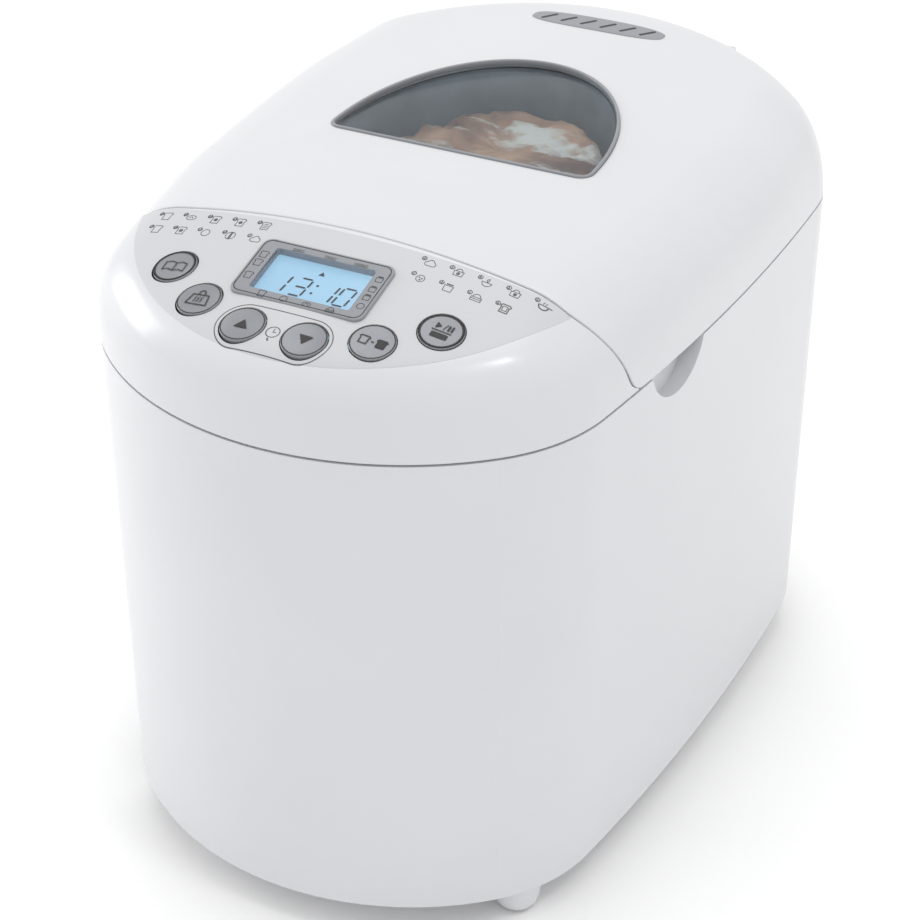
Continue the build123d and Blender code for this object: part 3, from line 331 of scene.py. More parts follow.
def make_piece(name, parts, body, paint, replaces=(), crease=40):
    """One object from parts, each (points in mm, faces); welded, turned outwards and placed on a body."""
    points = np.concatenate([p.reshape(-1, 3) for p, _ in parts])
    starts = np.cumsum([0] + [p.reshape(-1, 3).shape[0] for p, _ in parts[:-1]])
    corners = np.concatenate([(f + s).ravel() for (_, f), s in zip(parts, starts)])
    sides = np.concatenate([np.full(len(f), f.shape[1]) for _, f in parts])
    mesh = bpy.data.meshes.new(name)
    mesh.vertices.add(len(points))
    mesh.vertices.foreach_set("co", (points * MM).ravel())
    mesh.loops.add(len(corners))
    mesh.loops.foreach_set("vertex_index", corners)
    mesh.polygons.add(len(sides))
    mesh.polygons.foreach_set("loop_start", np.cumsum(sides) - sides)
    mesh.update(calc_edges=True)
    work = bmesh.new()
    work.from_mesh(mesh)
    bmesh.ops.remove_doubles(work, verts=work.verts, dist=2e-6)
    bmesh.ops.dissolve_degenerate(work, edges=work.edges, dist=1e-6)
    bmesh.ops.recalc_face_normals(work, faces=work.faces)
    work.to_mesh(mesh)
    work.free()
    mesh.polygons.foreach_set("use_smooth", np.ones(len(mesh.polygons), bool))
    mesh.set_sharp_from_angle(angle=math.radians(crease))
    mesh.materials.append(paint)
    piece = bpy.data.objects.new(name, mesh)
    bpy.context.scene.collection.objects.link(piece)
    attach(piece, body)
    if replaces:
        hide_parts(*replaces)
    return piece


def loft(rings, wrap_rows=False, caps=False):
    """Part that joins closed rings of points, given as (ring, point, xyz)."""
    grid = np.asarray(rings, float)
    if caps:
        grid = with_caps(grid)
    return grid, quads(grid.shape[0], grid.shape[1], wrap_rows, True)


def ring_at(plan, z):
    """Closed plan curve at a height, which may be one number or one for each point."""
    return np.concatenate([plan, np.broadcast_to(np.reshape(z, (-1, 1)), (len(plan), 1))], axis=1)


def rounded_rectangle(half_x, half_y, corner, count=96):
    """Closed plan curve of a rectangle with round corners, centred on the origin."""
    turn = np.linspace(0, 2 * math.pi, count, endpoint=False) + 1e-4
    quarter = (np.floor(turn / (math.pi / 2)) % 4).astype(int)
    sign_x, sign_y = np.array([1, -1, -1, 1])[quarter], np.array([1, 1, -1, -1])[quarter]
    spread = (turn % (math.pi / 2)) / (math.pi / 2)
    bend = np.clip((spread - 0.2) / 0.6, 0, 1) * math.pi / 2 + quarter * math.pi / 2
    x = sign_x * (half_x - corner) + corner * np.cos(bend)
    y = sign_y * (half_y - corner) + corner * np.sin(bend)
    return np.stack([x, y], -1)


def half_oval(half_x, half_y, base, corner, count=240):
    """Closed plan curve: half an ellipse on a straight front edge, with round front corners."""
    small_x, small_y, low = half_x - corner, half_y - 2 * corner, base + corner
    t = np.linspace(0, math.pi, count)
    out = np.stack([np.cos(t) / small_x, np.sin(t) / small_y], -1)
    out /= np.linalg.norm(out, axis=1, keepdims=True)
    oval = np.stack([small_x * np.cos(t), low + small_y * np.sin(t)], -1) + corner * out
    turn = np.linspace(math.pi, 1.5 * math.pi, 16)[1:]
    left = np.stack([-small_x + corner * np.cos(turn), low + corner * np.sin(turn)], -1)
    chord_x = np.linspace(-small_x, small_x, 80)[1:-1]
    chord = np.stack([chord_x, np.full(chord_x.shape, base)], -1)
    turn = np.linspace(1.5 * math.pi, 2 * math.pi, 16)[:-1]
    right = np.stack([small_x + corner * np.cos(turn), low + corner * np.sin(turn)], -1)
    return np.concatenate([oval, left, chord, right])


def radius_table(curve, angles):
    """Distance from the window's middle to a closed curve, in the given directions."""
    seen = np.arctan2(curve[:, 1] - WINDOW_CENTRE_Y, curve[:, 0])
    away = np.hypot(curve[:, 0], curve[:, 1] - WINDOW_CENTRE_Y)
    order = np.argsort(seen)
    return np.interp(angles, seen[order], away[order], period=2 * math.pi)


def on_panel(points, lift):
    """Lay flat points (x, plan y) on the crowned panel, raised by lift along its normal."""
    x, y = points[:, 0], points[:, 1]
    normal = np.stack([2 * PANEL_CROWN * x, np.full(x.shape, -PANEL_SLOPE), np.ones(x.shape)], -1)
    normal /= np.linalg.norm(normal, axis=1, keepdims=True)
    return np.stack([x, y, housing_height(x, y)], -1) + lift * normal


def on_display(points, lift):
    """Lay flat points on the plane of the display, raised by lift along its normal."""
    tilt = math.atan(PANEL_SLOPE)
    x, y = points[:, 0], points[:, 1]
    flat = np.stack([x, y, PANEL_Z + PANEL_SLOPE * (y - PANEL_Y)], -1)
    return flat + lift * np.array([0, -math.sin(tilt), math.cos(tilt)])


def stroke(points, width, closed=False):
    """Flat ribbon along a polyline, as (points, faces); long runs are divided to follow the crown."""
    line = np.asarray(points, float)
    line = divide(np.concatenate([line, line[:1]]) if closed else line, 1.2)
    if closed:
        line = line[:-1]
        ahead, behind = np.roll(line, -1, 0) - line, line - np.roll(line, 1, 0)
    else:
        ahead = np.diff(line, axis=0, append=line[-1:] * 2 - line[-2:-1])
        behind = np.diff(line, axis=0, prepend=line[:1] * 2 - line[1:2])
    ahead /= np.maximum(np.linalg.norm(ahead, axis=1, keepdims=True), 1e-9)
    behind /= np.maximum(np.linalg.norm(behind, axis=1, keepdims=True), 1e-9)
    way = ahead + behind
    way /= np.maximum(np.linalg.norm(way, axis=1, keepdims=True), 1e-9)
    stretch = np.clip(1 / np.maximum((way * ahead).sum(1), 0.4), 1, 1.8)[:, None]
    side = np.stack([-way[:, 1], way[:, 0]], -1) * width / 2 * stretch
    grid = np.stack([line + side, line - side])
    return grid.reshape(-1, 2), quads(2, len(line), False, closed)


def divide(line, step):
    """Polyline with extra points so that no run is longer than a step."""
    run = np.hypot(*np.diff(line, axis=0).T)
    pieces = [np.linspace(a, b, max(int(np.ceil(r / step)), 1), endpoint=False)
              for a, b, r in zip(line[:-1], line[1:], run)]
    return np.concatenate(pieces + [line[-1:]])


def disc(x, y, radius, count=20):
    """Flat filled circle, as (points, faces)."""
    turn = np.linspace(0, 2 * math.pi, count, endpoint=False)
    edge = np.stack([np.cos(turn), np.sin(turn)], -1)
    grid = np.stack([edge * radius, edge * 0.02]) + np.array([x, y])
    return grid.reshape(-1, 2), quads(2, count, False, True)


def circle(x, y, radius, start=0, end=360, count=24):
    """Points of a circle or of an arc between two angles in degrees."""
    closed = end - start >= 360
    turn = np.radians(np.linspace(start, end, count, endpoint=not closed))
    return np.stack([x + radius * np.cos(turn), y + radius * np.sin(turn)], -1)


def lay(shapes, lift, placer):
    """Flat shapes laid on a surface by placer."""
    return [(placer(points, lift), faces) for points, faces in shapes]


def text_shape(words, size):
    """Flat letters as (points, faces), centred on the origin, with a capital height of about size."""
    curve = bpy.data.curves.new("words", "FONT")
    curve.body = words
    curve.align_x, curve.align_y = "CENTER", "CENTER"
    curve.resolution_u = 3
    holder = bpy.data.objects.new("words", curve)
    mesh = bpy.data.meshes.new_from_object(holder)
    work = bmesh.new()
    work.from_mesh(mesh)
    bmesh.ops.triangulate(work, faces=work.faces)
    work.to_mesh(mesh)
    work.free()
    points = np.zeros(len(mesh.vertices) * 3)
    mesh.vertices.foreach_get("co", points)
    corners = np.zeros(len(mesh.loops), np.int32)
    mesh.loops.foreach_get("vertex_index", corners)
    bpy.data.objects.remove(holder)
    bpy.data.curves.remove(curve)
    bpy.data.meshes.remove(mesh)
    triangles = corners.reshape(-1, 3)
    return points.reshape(-1, 3)[:, :2] * size / 0.7, triangles


# ------------------------------------------------------------------ materials


def material(name, colour, rough, metal=0.0, vary=0.04, grain=900.0, bump=0.05, coat=0.0, glow=None,
             second=None, blotch=12.0):
    """Procedural surface: colour and roughness vary with two noises, and a fine grain gives relief."""
    paint = bpy.data.materials.new(name)
    paint.use_nodes = True
    nodes, links = paint.node_tree.nodes, paint.node_tree.links
    shader = nodes["Principled BSDF"]
    place = nodes.new("ShaderNodeTexCoord")
    broad = nodes.new("ShaderNodeTexNoise")
    broad.inputs["Scale"].default_value = blotch
    broad.inputs["Detail"].default_value = 4
    fine = nodes.new("ShaderNodeTexNoise")
    fine.inputs["Scale"].default_value = grain
    fine.inputs["Detail"].default_value = 3
    for noise in (broad, fine):
        links.new(place.outputs["Object"], noise.inputs["Vector"])
    ramp = nodes.new("ShaderNodeValToRGB")
    darker = [c * (1 - vary) for c in colour]
    lighter = list(second) if second else [min(c * (1 + vary * 0.5), 1) for c in colour]
    ramp.color_ramp.elements[0].position, ramp.color_ramp.elements[1].position = 0.35, 0.65
    ramp.color_ramp.elements[0].color = (*darker, 1)
    ramp.color_ramp.elements[1].color = (*lighter, 1)
    links.new(broad.outputs["Fac"], ramp.inputs["Fac"])
    links.new(ramp.outputs["Color"], shader.inputs["Base Color"])
    gloss = nodes.new("ShaderNodeMapRange")
    gloss.inputs["To Min"].default_value = max(rough * 0.85, 0.02)
    gloss.inputs["To Max"].default_value = min(rough * 1.2, 1)
    links.new(fine.outputs["Fac"], gloss.inputs["Value"])
    links.new(gloss.outputs["Result"], shader.inputs["Roughness"])
    relief = nodes.new("ShaderNodeBump")
    relief.inputs["Strength"].default_value = bump
    relief.inputs["Distance"].default_value = 0.0003
    links.new(fine.outputs["Fac"], relief.inputs["Height"])
    links.new(relief.outputs["Normal"], shader.inputs["Normal"])
    shader.inputs["Metallic"].default_value = metal
    shader.inputs["Coat Weight"].default_value = coat
    shader.inputs["Coat Roughness"].default_value = 0.12
    if glow:
        shader.inputs["Emission Color"].default_value = (*glow[:3], 1)
        shader.inputs["Emission Strength"].default_value = glow[3]
    return paint


def clear(name, tint, shine):
    """Clear sheet: a tinted view straight through, mixed with a share of mirror reflection."""
    paint = material(name, (0.9, 0.93, 0.96), 0.09, metal=1.0, vary=0.02, bump=0.01)
    nodes, links = paint.node_tree.nodes, paint.node_tree.links
    through = nodes.new("ShaderNodeBsdfTransparent")
    through.inputs["Color"].default_value = (*tint, 1)
    blend = nodes.new("ShaderNodeMixShader")
    blend.inputs["Fac"].default_value = shine
    links.new(through.outputs["BSDF"], blend.inputs[1])
    links.new(nodes["Principled BSDF"].outputs["BSDF"], blend.inputs[2])
    links.new(blend.outputs["Shader"], nodes["Material Output"].inputs["Surface"])
    return paint


PAINTS = {}


def paint_of(slot):
    """Material of one of the record's slots, made once."""
    look = bpy.context.scene.bread_machine
    if slot not in PAINTS:
        PAINTS[slot] = make_paint(slot, look)
    return PAINTS[slot]


def make_paint(slot, look):
    """New material for a slot."""
    shell, grey = tuple(look.shell_colour), tuple(look.trim_colour)
    table = {
        "white_casing": dict(colour=shell, rough=0.30, vary=0.015, coat=0.25, bump=0.03),
        "white_matte": dict(colour=shell, rough=0.5, vary=0.03),
        "panel_film": dict(colour=tuple(c * 0.85 for c in shell), rough=0.42, vary=0.01, bump=0.02),
        "grey_plastic": dict(colour=grey, rough=0.38, vary=0.06, coat=0.1),
        "button_grey": dict(colour=grey, rough=0.32, metal=0.25, vary=0.10, blotch=60.0, coat=0.2),
        "black_plastic": dict(colour=(0.03, 0.03, 0.032), rough=0.5, vary=0.2),
        "fan_plastic": dict(colour=(0.72, 0.71, 0.66), rough=0.45),
        "dark_rubber": dict(colour=(0.03, 0.03, 0.03), rough=0.75, vary=0.2, bump=0.3),
        "black_belt": dict(colour=(0.025, 0.025, 0.025), rough=0.7, vary=0.2, bump=0.3),
        "bright_steel": dict(colour=(0.66, 0.66, 0.68), rough=0.24, metal=1.0, vary=0.08),
        "sheet_steel": dict(colour=(0.27, 0.33, 0.38), rough=0.42, metal=0.6, vary=0.22, blotch=40.0),
        "spring_steel": dict(colour=(0.45, 0.45, 0.47), rough=0.3, metal=1.0, vary=0.1),
        "heater_tube": dict(colour=(0.20, 0.17, 0.15), rough=0.45, metal=0.8, vary=0.3, blotch=60.0),
        "motor_iron": dict(colour=(0.18, 0.19, 0.21), rough=0.5, metal=0.7, vary=0.2, blotch=90.0),
        "cast_aluminium": dict(colour=(0.62, 0.62, 0.63), rough=0.5, metal=0.9, vary=0.12, bump=0.35),
        "bronze": dict(colour=(0.55, 0.37, 0.17), rough=0.45, metal=0.9, vary=0.1),
        "copper_wire": dict(colour=(0.62, 0.27, 0.12), rough=0.35, metal=0.9, vary=0.2, blotch=200.0),
        "white_ceramic": dict(colour=(0.82, 0.80, 0.76), rough=0.6, vary=0.05),
        "capacitor_case": dict(colour=(0.60, 0.60, 0.61), rough=0.35, metal=0.9),
        "circuit_board": dict(colour=(0.05, 0.20, 0.07), rough=0.4, vary=0.25, blotch=150.0, coat=0.2),
        "pan_coating": dict(colour=(0.05, 0.05, 0.055), rough=0.42, vary=0.25, bump=0.2, coat=0.1),
    }
    if slot in table:
        return material(slot, **table[slot])
    if slot == "lit_display":
        glow = tuple(look.display_colour)
        base = tuple(c * 0.25 for c in glow)
        return material(slot, base, 0.5, vary=0.05, glow=(*glow, 0.62), blotch=30.0)
    if slot == "clear_pane":
        return clear(slot, (0.90, 0.93, 0.95), 0.07)
    return clear(slot, (0.97, 0.98, 1.0), 0.02)


def print_paint(name, value):
    """Ink of the printed marks."""
    if name not in PAINTS:
        PAINTS[name] = material(name, (value, value, value * 1.04), 0.5, vary=0.15, bump=0.02)
    return PAINTS[name]


def crust_paint(look):
    """Baked crust: browns in broad patches, with streaks of flour where a stretched noise is high."""
    paint = material("loaf_crust", tuple(look.crust_colour), 0.75, vary=0.55, grain=420.0, bump=0.9,
                     second=(0.50, 0.29, 0.18), blotch=38.0)
    nodes, links = paint.node_tree.nodes, paint.node_tree.links
    shader = nodes["Principled BSDF"]
    base = shader.inputs["Base Color"].links[0].from_socket
    place = nodes.new("ShaderNodeTexCoord")
    stretch = nodes.new("ShaderNodeMapping")
    stretch.inputs["Scale"].default_value = (16.0, 34.0, 30.0)
    stretch.inputs["Rotation"].default_value = (0.0, 0.0, 0.35)
    flour = nodes.new("ShaderNodeTexNoise")
    flour.inputs["Scale"].default_value = 1.6
    flour.inputs["Detail"].default_value = 9
    flour.inputs["Roughness"].default_value = 0.68
    edge = nodes.new("ShaderNodeMapRange")
    edge.inputs["From Min"].default_value, edge.inputs["From Max"].default_value = 0.50, 0.62
    blend = nodes.new("ShaderNodeMix")
    blend.data_type = "RGBA"
    blend.inputs["B"].default_value = (0.66, 0.63, 0.56, 1)
    links.new(place.outputs["Object"], stretch.inputs["Vector"])
    links.new(stretch.outputs["Vector"], flour.inputs["Vector"])
    links.new(flour.outputs["Fac"], edge.inputs["Value"])
    links.new(edge.outputs["Result"], blend.inputs["Factor"])
    links.new(base, blend.inputs["A"])
    links.new(blend.outputs["Result"], shader.inputs["Base Color"])
    return paint


# ------------------------------------------------------------------ pieces


def lid_grid(rows):
    """Outer surface of the lid, from the window's edge out to its rim, as (line, point, xyz)."""
    around = np.linspace(-math.pi, math.pi, 6001)
    opening = half_oval(WINDOW[0] + 0.8, WINDOW[1] + 1.6, WINDOW[2] - 0.8, WINDOW[3] + 0.8)
    rim = outline_at(even_headings(4000))[0]
    run = np.zeros(len(around))
    for curve, share in ((opening, 0.45), (rim, 0.55)):
        away = radius_table(curve, around)
        places = np.stack([away * np.cos(around), away * np.sin(around)], -1)
        length = np.concatenate([[0], np.cumsum(np.hypot(*np.diff(places, axis=0).T))])
        run += share * length / length[-1]
    angles = np.interp(np.linspace(0, 1, 420, endpoint=False), run, around)
    rim_x = radius_table(rim, around) * np.cos(around)
    rear = around[(around > 0.3) & (around < math.pi - 0.3)]
    rear_x = rim_x[(around > 0.3) & (around < math.pi - 0.3)]
    for side in (-1, 1):
        for x in (NOTCH_HALF - 0.15, NOTCH_HALF + 0.15):
            angles = np.append(angles, np.interp(-side * x, -rear_x, rear))
    angles = np.sort(angles)
    way = np.stack([np.cos(angles), np.sin(angles)], -1)
    middle = np.array([0, WINDOW_CENTRE_Y])
    start = middle + way * radius_table(opening, angles)[:, None]
    finish = middle + way * radius_table(rim, angles)[:, None]
    part = 1 - (1 - np.linspace(0, 1, 420)) ** 2.4
    plan = mix(start[:, None, :], finish[:, None, :], part[None, :, None])
    height = lid_height(plan[..., 0], plan[..., 1])
    roof = np.concatenate([plan, height[..., None]], 2)
    fall = mix(height[:, -1:], SEAM_Z - 2, np.linspace(0, 1, 80)[None, 1:])
    wall = np.concatenate([np.broadcast_to(finish[:, None, :], fall.shape + (2,)), fall[..., None]], 2)
    path = np.concatenate([roof, wall], 1)
    notched = (np.abs(finish[:, 0]) < NOTCH_HALF) & (finish[:, 1] > 0)
    bottom = np.where(notched, NOTCH_TOP, SEAM_Z)[:, None] + EDGE_GAP
    front = path[..., 1] - (lid_edge(path[..., 2]) + EDGE_GAP)
    return resample(stop_at(path, np.minimum(front, path[..., 2] - bottom)), rows, 40, NOTCH_TOP + 2)


def housing_grid(rows):
    """Outer surface of the control housing, from its lower edge up and back to the lid."""
    turn = even_headings(2000)
    places = outline_at(turn)[0]
    front = turn[(places[:, 1] < -66) & (turn < math.pi)].max()
    headings = even_headings(300, -front, front)
    edge, normal = outline_at(headings)
    share = np.clip(edge[:, 0] / 104.0, -1, 1)
    target = np.stack([91.0 * share, np.full(share.shape, -94.0)], -1)
    inner = edge - 26.0 * normal
    part = np.linspace(0, 1, 420)[None, :, None] ** 2.0
    plan = ((1 - part) ** 2 * edge[:, None] + 2 * part * (1 - part) * inner[:, None]
            + part**2 * target[:, None])
    height = housing_height(plan[..., 0], plan[..., 1])
    roof = np.concatenate([plan, height[..., None]], 2)
    rise = mix(SEAM_Z + EDGE_GAP, height[:, :1], np.linspace(0, 1, 80)[None, :-1])
    wall = np.concatenate([np.broadcast_to(edge[:, None, :], rise.shape + (2,)), rise[..., None]], 2)
    path = np.concatenate([wall, roof], 1)
    gap = (lid_edge(path[..., 2]) - 1.1) - path[..., 1]
    return resample(stop_at(path, gap), rows)


def film_grid():
    """Crescent of the printed film: a disc cut off straight in front of the lid, laid on the panel."""
    low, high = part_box("panel_overlay")
    front, rear = low.y / MM, high.y / MM
    centre_y = front + FILM_R
    half = math.sqrt(FILM_R**2 - (rear - centre_y) ** 2) - 0.3
    x = half * np.sin(np.linspace(-math.pi / 2, math.pi / 2, 190))[:, None]
    arc_y = centre_y - np.sqrt((FILM_R - 0.2) ** 2 - x * x)
    part = np.linspace(0, 1, 74)[None, :]
    y = mix(np.minimum(arc_y, rear - 0.02), rear, part)
    flat = np.stack([np.broadcast_to(x, y.shape), y], -1)
    return on_panel(flat.reshape(-1, 2), 0.1).reshape(y.shape + (3,))


def read_rows(items, name, width, kind=float):
    """One property of all of a mesh's items, as an array with a row for each item."""
    values = np.zeros(len(items) * width, kind)
    items.foreach_get(name, values)
    return values.reshape(-1, width)


def cut_holes(piece, hole_r):
    """Open a panel skin under buttons and display; each rim is drawn onto its circle, then bridged."""
    mesh = piece.data
    middle_x, middle_y, middle_z = (read_rows(mesh.polygons, "center", 3) / MM).T
    near = (np.abs(middle_x) < BEZEL[0] - 3) & (np.abs(middle_y - PANEL_Y) < BEZEL[1] - 2.5)
    for x, y in BUTTONS.values():
        near |= np.hypot(middle_x - x, middle_y - y) < hole_r
    near &= middle_z > panel_height(middle_x, middle_y) - 6
    work = bmesh.new()
    work.from_mesh(mesh)
    work.faces.ensure_lookup_table()
    bmesh.ops.delete(work, geom=[work.faces[i] for i in np.nonzero(near)[0]], context="FACES")
    work.to_mesh(mesh)
    points = read_rows(mesh.vertices, "co", 3) / MM
    ends = read_rows(mesh.edges, "vertices", 2, np.int32)
    sides = np.bincount(read_rows(mesh.loops, "edge_index", 1, np.int32)[:, 0], minlength=len(ends))
    rims = []
    for x, y in BUTTONS.values():
        close = np.hypot(points[:, 0] - x, points[:, 1] - y) < BUTTON_R + 4
        rims.append(np.nonzero((sides == 1) & close[ends].all(1))[0])
        rim = np.unique(ends[rims[-1]])
        offset = points[rim, :2] - np.array([x, y])
        place = np.array([x, y]) + offset * hole_r / np.linalg.norm(offset, axis=1, keepdims=True)
        points[rim, 2] += housing_height(*place.T) - housing_height(*points[rim, :2].T)
        points[rim, :2] = place
    mesh.vertices.foreach_set("co", (points * MM).ravel())
    work.clear()
    work.from_mesh(mesh)
    work.edges.ensure_lookup_table()
    for edges in [[work.edges[i] for i in rim] for rim in rims if len(rim)]:
        bmesh.ops.bridge_loops(work, edges=edges)
    bmesh.ops.recalc_face_normals(work, faces=work.faces)
    work.to_mesh(mesh)
    work.free()
    mesh.set_sharp_from_angle(angle=math.radians(40))


def build_casing():
    """Control housing, printed film, chamber deck with the seam's skirt, and hinge block."""
    white = paint_of("white_casing")
    section = thicken(housing_grid(150), WALL, 0.5, wrap=False)
    housing = make_piece("control_housing", [loft(section, caps=True)], "casing", white, ["top_cover"])
    cut_holes(housing, BUTTON_R + 0.7)
    section = thicken(film_grid(), 0.5, 0.08, wrap=False)
    film = make_piece("panel_film", [loft(section, caps=True)], "casing", paint_of("panel_film"),
                      ["panel_overlay"])
    cut_holes(film, BUTTON_R + 0.35)
    edge, normal = outline_at(even_headings(361)[:-1])
    make_piece("chamber_deck", [deck_ring(edge, normal)], "casing", white)
    make_piece("seam_skirt", [skirt_ring(edge, normal)], "casing", white)
    make_piece("hinge_block", hinge_bars(), "casing", white)


def deck_ring(edge, normal):
    """Deck round the chamber: a flat ring from the seam, with its scoops, in to the rounded opening."""
    scoop = ease((SCOOP_HALF - np.abs(edge[:, 1] - SCOOP_Y)) / 3) * SCOOP_DEPTH
    outer = edge - (DECK_INSET + scoop)[:, None] * normal
    angles = np.arctan2(outer[:, 1] - CENTRE_Y, outer[:, 0])
    hole = rounded_rectangle(*DECK_OPENING, count=720)
    seen = np.arctan2(hole[:, 1], hole[:, 0])
    order = np.argsort(seen)
    away = np.interp(angles, seen[order], np.hypot(*hole[order].T), period=2 * math.pi)
    inner = np.stack([np.cos(angles), np.sin(angles)], -1) * away[:, None] + np.array([0, CENTRE_Y])
    low, high = DECK
    soft = mix(outer, inner, 0.97)
    rings = [ring_at(outer, low), ring_at(outer, high), ring_at(soft, high), ring_at(inner, high - 0.6),
             ring_at(inner, low)]
    return loft(rings, wrap_rows=True)


def skirt_ring(edge, normal):
    """Ridge that closes the seam: a stepped section carried round the outline, low at the scoops."""
    low, high = DECK
    in_front = edge[:, 1] < -78
    top = np.where(in_front, SEAM_Z + 3.0, high - 0.3)
    lip = np.where(in_front, SEAM_Z + 0.1, high - 0.4)
    foot, narrow = edge - DECK_INSET * normal, edge - 5.0 * normal
    step_out = np.where(in_front[:, None], edge - normal, foot)
    rings = [ring_at(foot, low), ring_at(foot, lip), ring_at(step_out, lip + 0.05), ring_at(step_out, top),
             ring_at(narrow, top), ring_at(narrow, low)]
    in_scoop = (np.abs(edge[:, 1] - SCOOP_Y) < SCOOP_HALF)[:, None]
    sunk = ring_at(edge - 6.0 * normal, low + 0.1)
    return loft([np.where(in_scoop, sunk, ring) for ring in rings], wrap_rows=True)


def hinge_bars():
    """Middle and cheeks of the hinge: a round-topped profile carried along X with soft ends."""
    turn = np.linspace(0, math.pi, 40)
    foot_z = np.linspace(HINGE_Z, DECK[1] - 0.5, 12)[1:]
    behind = np.full(foot_z.shape, HINGE_Y + HINGE_R)
    profile_y = np.concatenate([HINGE_Y - HINGE_R * np.cos(turn), behind, [HINGE_Y - HINGE_R]])
    parts = []
    for x0, x1, crest in HINGE_BARS:
        across = np.concatenate([[x0, x0 + 0.25], np.linspace(x0 + 0.8, x1 - 0.8, 24), [x1 - 0.25, x1]])
        shrink = np.concatenate([[0.8, 0.25], np.zeros(24), [0.25, 0.8]])
        rear = np.sqrt(BACK_R**2 - across**2) + BACK_CENTRE_Y
        profile_z = np.concatenate([HINGE_Z + crest * np.sin(turn), foot_z, foot_z[-1:]])
        rings = []
        for x, less, back in zip(across, shrink, rear):
            y = HINGE_Y + (np.minimum(profile_y, back) - HINGE_Y) * (1 - less / HINGE_R)
            z = profile_z - less * (profile_z > HINGE_Z)
            rings.append(np.stack([np.full(y.shape, x), y, z], -1))
        parts.append(loft(rings, caps=True))
    return parts


def build_feet():
    """Round-ended legs and their small pads, turned about each foot's upright axis."""
    white, dark = paint_of("white_casing"), paint_of("dark_rubber")
    turn = np.linspace(0, 2 * math.pi, 48, endpoint=False)
    low, high = (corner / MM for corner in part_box("feet"))
    legs, pads = [], []
    for x, y in ((high.x - FOOT_R, low.y + FOOT_R), (REAR_FOOT_X, high.y - FOOT_R)):
        for side in (-1, 1):
            for profile, parts in ((LEG, legs), (PAD, pads)):
                rings = [np.stack([side * x + r * np.cos(turn), y + r * np.sin(turn), np.full(48, z)], -1)
                         for r, z in profile]
                parts.append(loft(rings, caps=True))
    make_piece("round_feet", legs, "casing", white, ["feet"])
    make_piece("round_pads", pads, "casing", dark, ["foot_pads"])


def build_lid():
    """Lid moulding with its hinge arms: a round eye whose upper side is drawn up into the lid."""
    section = thicken(lid_grid(112), WALL, ROLLED_LIP, wrap=True)
    parts = [(section, quads(section.shape[0], section.shape[1], True, True))]
    near_x, far_x, radius = HINGE_ARM
    turn = np.linspace(0, 2 * math.pi, 48, endpoint=False)
    upper = np.sin(turn) > 0.2
    y, z = HINGE_Y + radius * np.cos(turn), HINGE_Z + radius * np.sin(turn)
    z = np.where(upper, np.maximum(z, HINGE_Z) + 20 * ease(np.sin(turn) * 3), z)
    y = np.where(upper, np.minimum(y, HINGE_Y + 4), y)
    for side in (-1, 1):
        x0, x1 = sorted((side * near_x, side * far_x))
        rings = [np.stack([np.full(y.shape, x), HINGE_Y + (y - HINGE_Y) * k, HINGE_Z + (z - HINGE_Z) * k], -1)
                 for x, k in ((x0, 0.92), (x0 + 0.6, 1.0), (x1 - 0.6, 1.0), (x1, 0.92))]
        parts.append(loft(rings, caps=True))
    make_piece("lid_moulding", parts, "lid", paint_of("white_casing"), ["lid_shell"])


def build_window():
    """Grey gasket round the window, with a soft section, and the pane inside it."""
    turn = np.linspace(0, 2 * math.pi, 24, endpoint=False)
    half_width, half_height = 0.7, 1.3
    across = half_width * np.sign(np.cos(turn)) * np.abs(np.cos(turn)) ** 0.5
    up = half_height * np.sign(np.sin(turn)) * np.abs(np.sin(turn)) ** 0.5
    rings = []
    for offset, rise in zip(across, up):
        curve = half_oval(WINDOW[0] - 0.4 + offset, WINDOW[1] - 0.8 + 2 * offset, WINDOW[2] + 0.4 - offset,
                          WINDOW[3] - 0.4 + offset)
        rings.append(ring_at(curve, plateau_height(curve[:, 1]) - 0.6 + rise))
    make_piece("window_frame", [loft(rings, wrap_rows=True)], "lid", paint_of("grey_plastic"),
               ["window_gasket"])
    rings = []
    for less, sink in ((0.6, 3.2), (0.0, 2.9), (0.0, 0.7), (0.6, 0.4)):
        curve = half_oval(WINDOW[0] - 1.0 - less, WINDOW[1] - 2.0 - 2 * less, WINDOW[2] + 1.0 + less,
                          WINDOW[3] - 1.0)
        rings.append(ring_at(curve, plateau_height(curve[:, 1]) - sink))
    make_piece("window_pane", [loft(rings, caps=True)], "lid", paint_of("clear_pane"), ["lid_window"])


def on_lid(points, lift):
    """Plan points laid on the lid's roof, raised by lift."""
    return np.concatenate([points, (lid_height(points[:, 0], points[:, 1]) + lift)[:, None]], axis=1)


def build_vent():
    """Vent plate, a superellipse that follows the lid's roof, with six slanting slots painted on it as
    near-black marks of painted shade.
    """
    turn = np.linspace(0, 2 * math.pi, 120, endpoint=False)
    wave = np.stack([np.cos(turn), np.sin(turn)], -1)
    plan = np.array(VENT_HALF) * np.sign(wave) * np.abs(wave) ** (2 / 3)
    profile = [(0.01, -1.0), (0.5, -1.0), (0.95, -1.0), (1.0, -0.7), (1.0, 0.1), (0.985, 0.28), (0.95, 0.36)]
    profile += [(scale, 0.38) for scale in (0.85, 0.7, 0.5, 0.3, 0.01)]
    rings = [on_lid(plan * scale + np.array([0, VENT_Y]), lift) for scale, lift in profile]
    make_piece("vent_plate", [loft(rings, caps=True)], "lid", paint_of("grey_plastic"), ["lid_vent_grille"])
    half = np.array(VENT_SLOT_HALF)
    shapes = []
    for x in np.linspace(-VENT_SLOT_REACH, VENT_SLOT_REACH, VENT_SLOTS):
        ends = np.array([x, VENT_Y]) + np.stack([-half, half])
        shapes += [stroke(ends, VENT_SLOT_W), *(disc(*end, VENT_SLOT_W / 2) for end in ends)]
    # Painted shade: the slots are flat near-black strokes laid just above the plate, standing in for the dark
    # openings.
    make_piece("vent_slot_shade_marks", lay(shapes, 0.45, on_lid), "lid", print_paint("slot_shadow", 0.025))


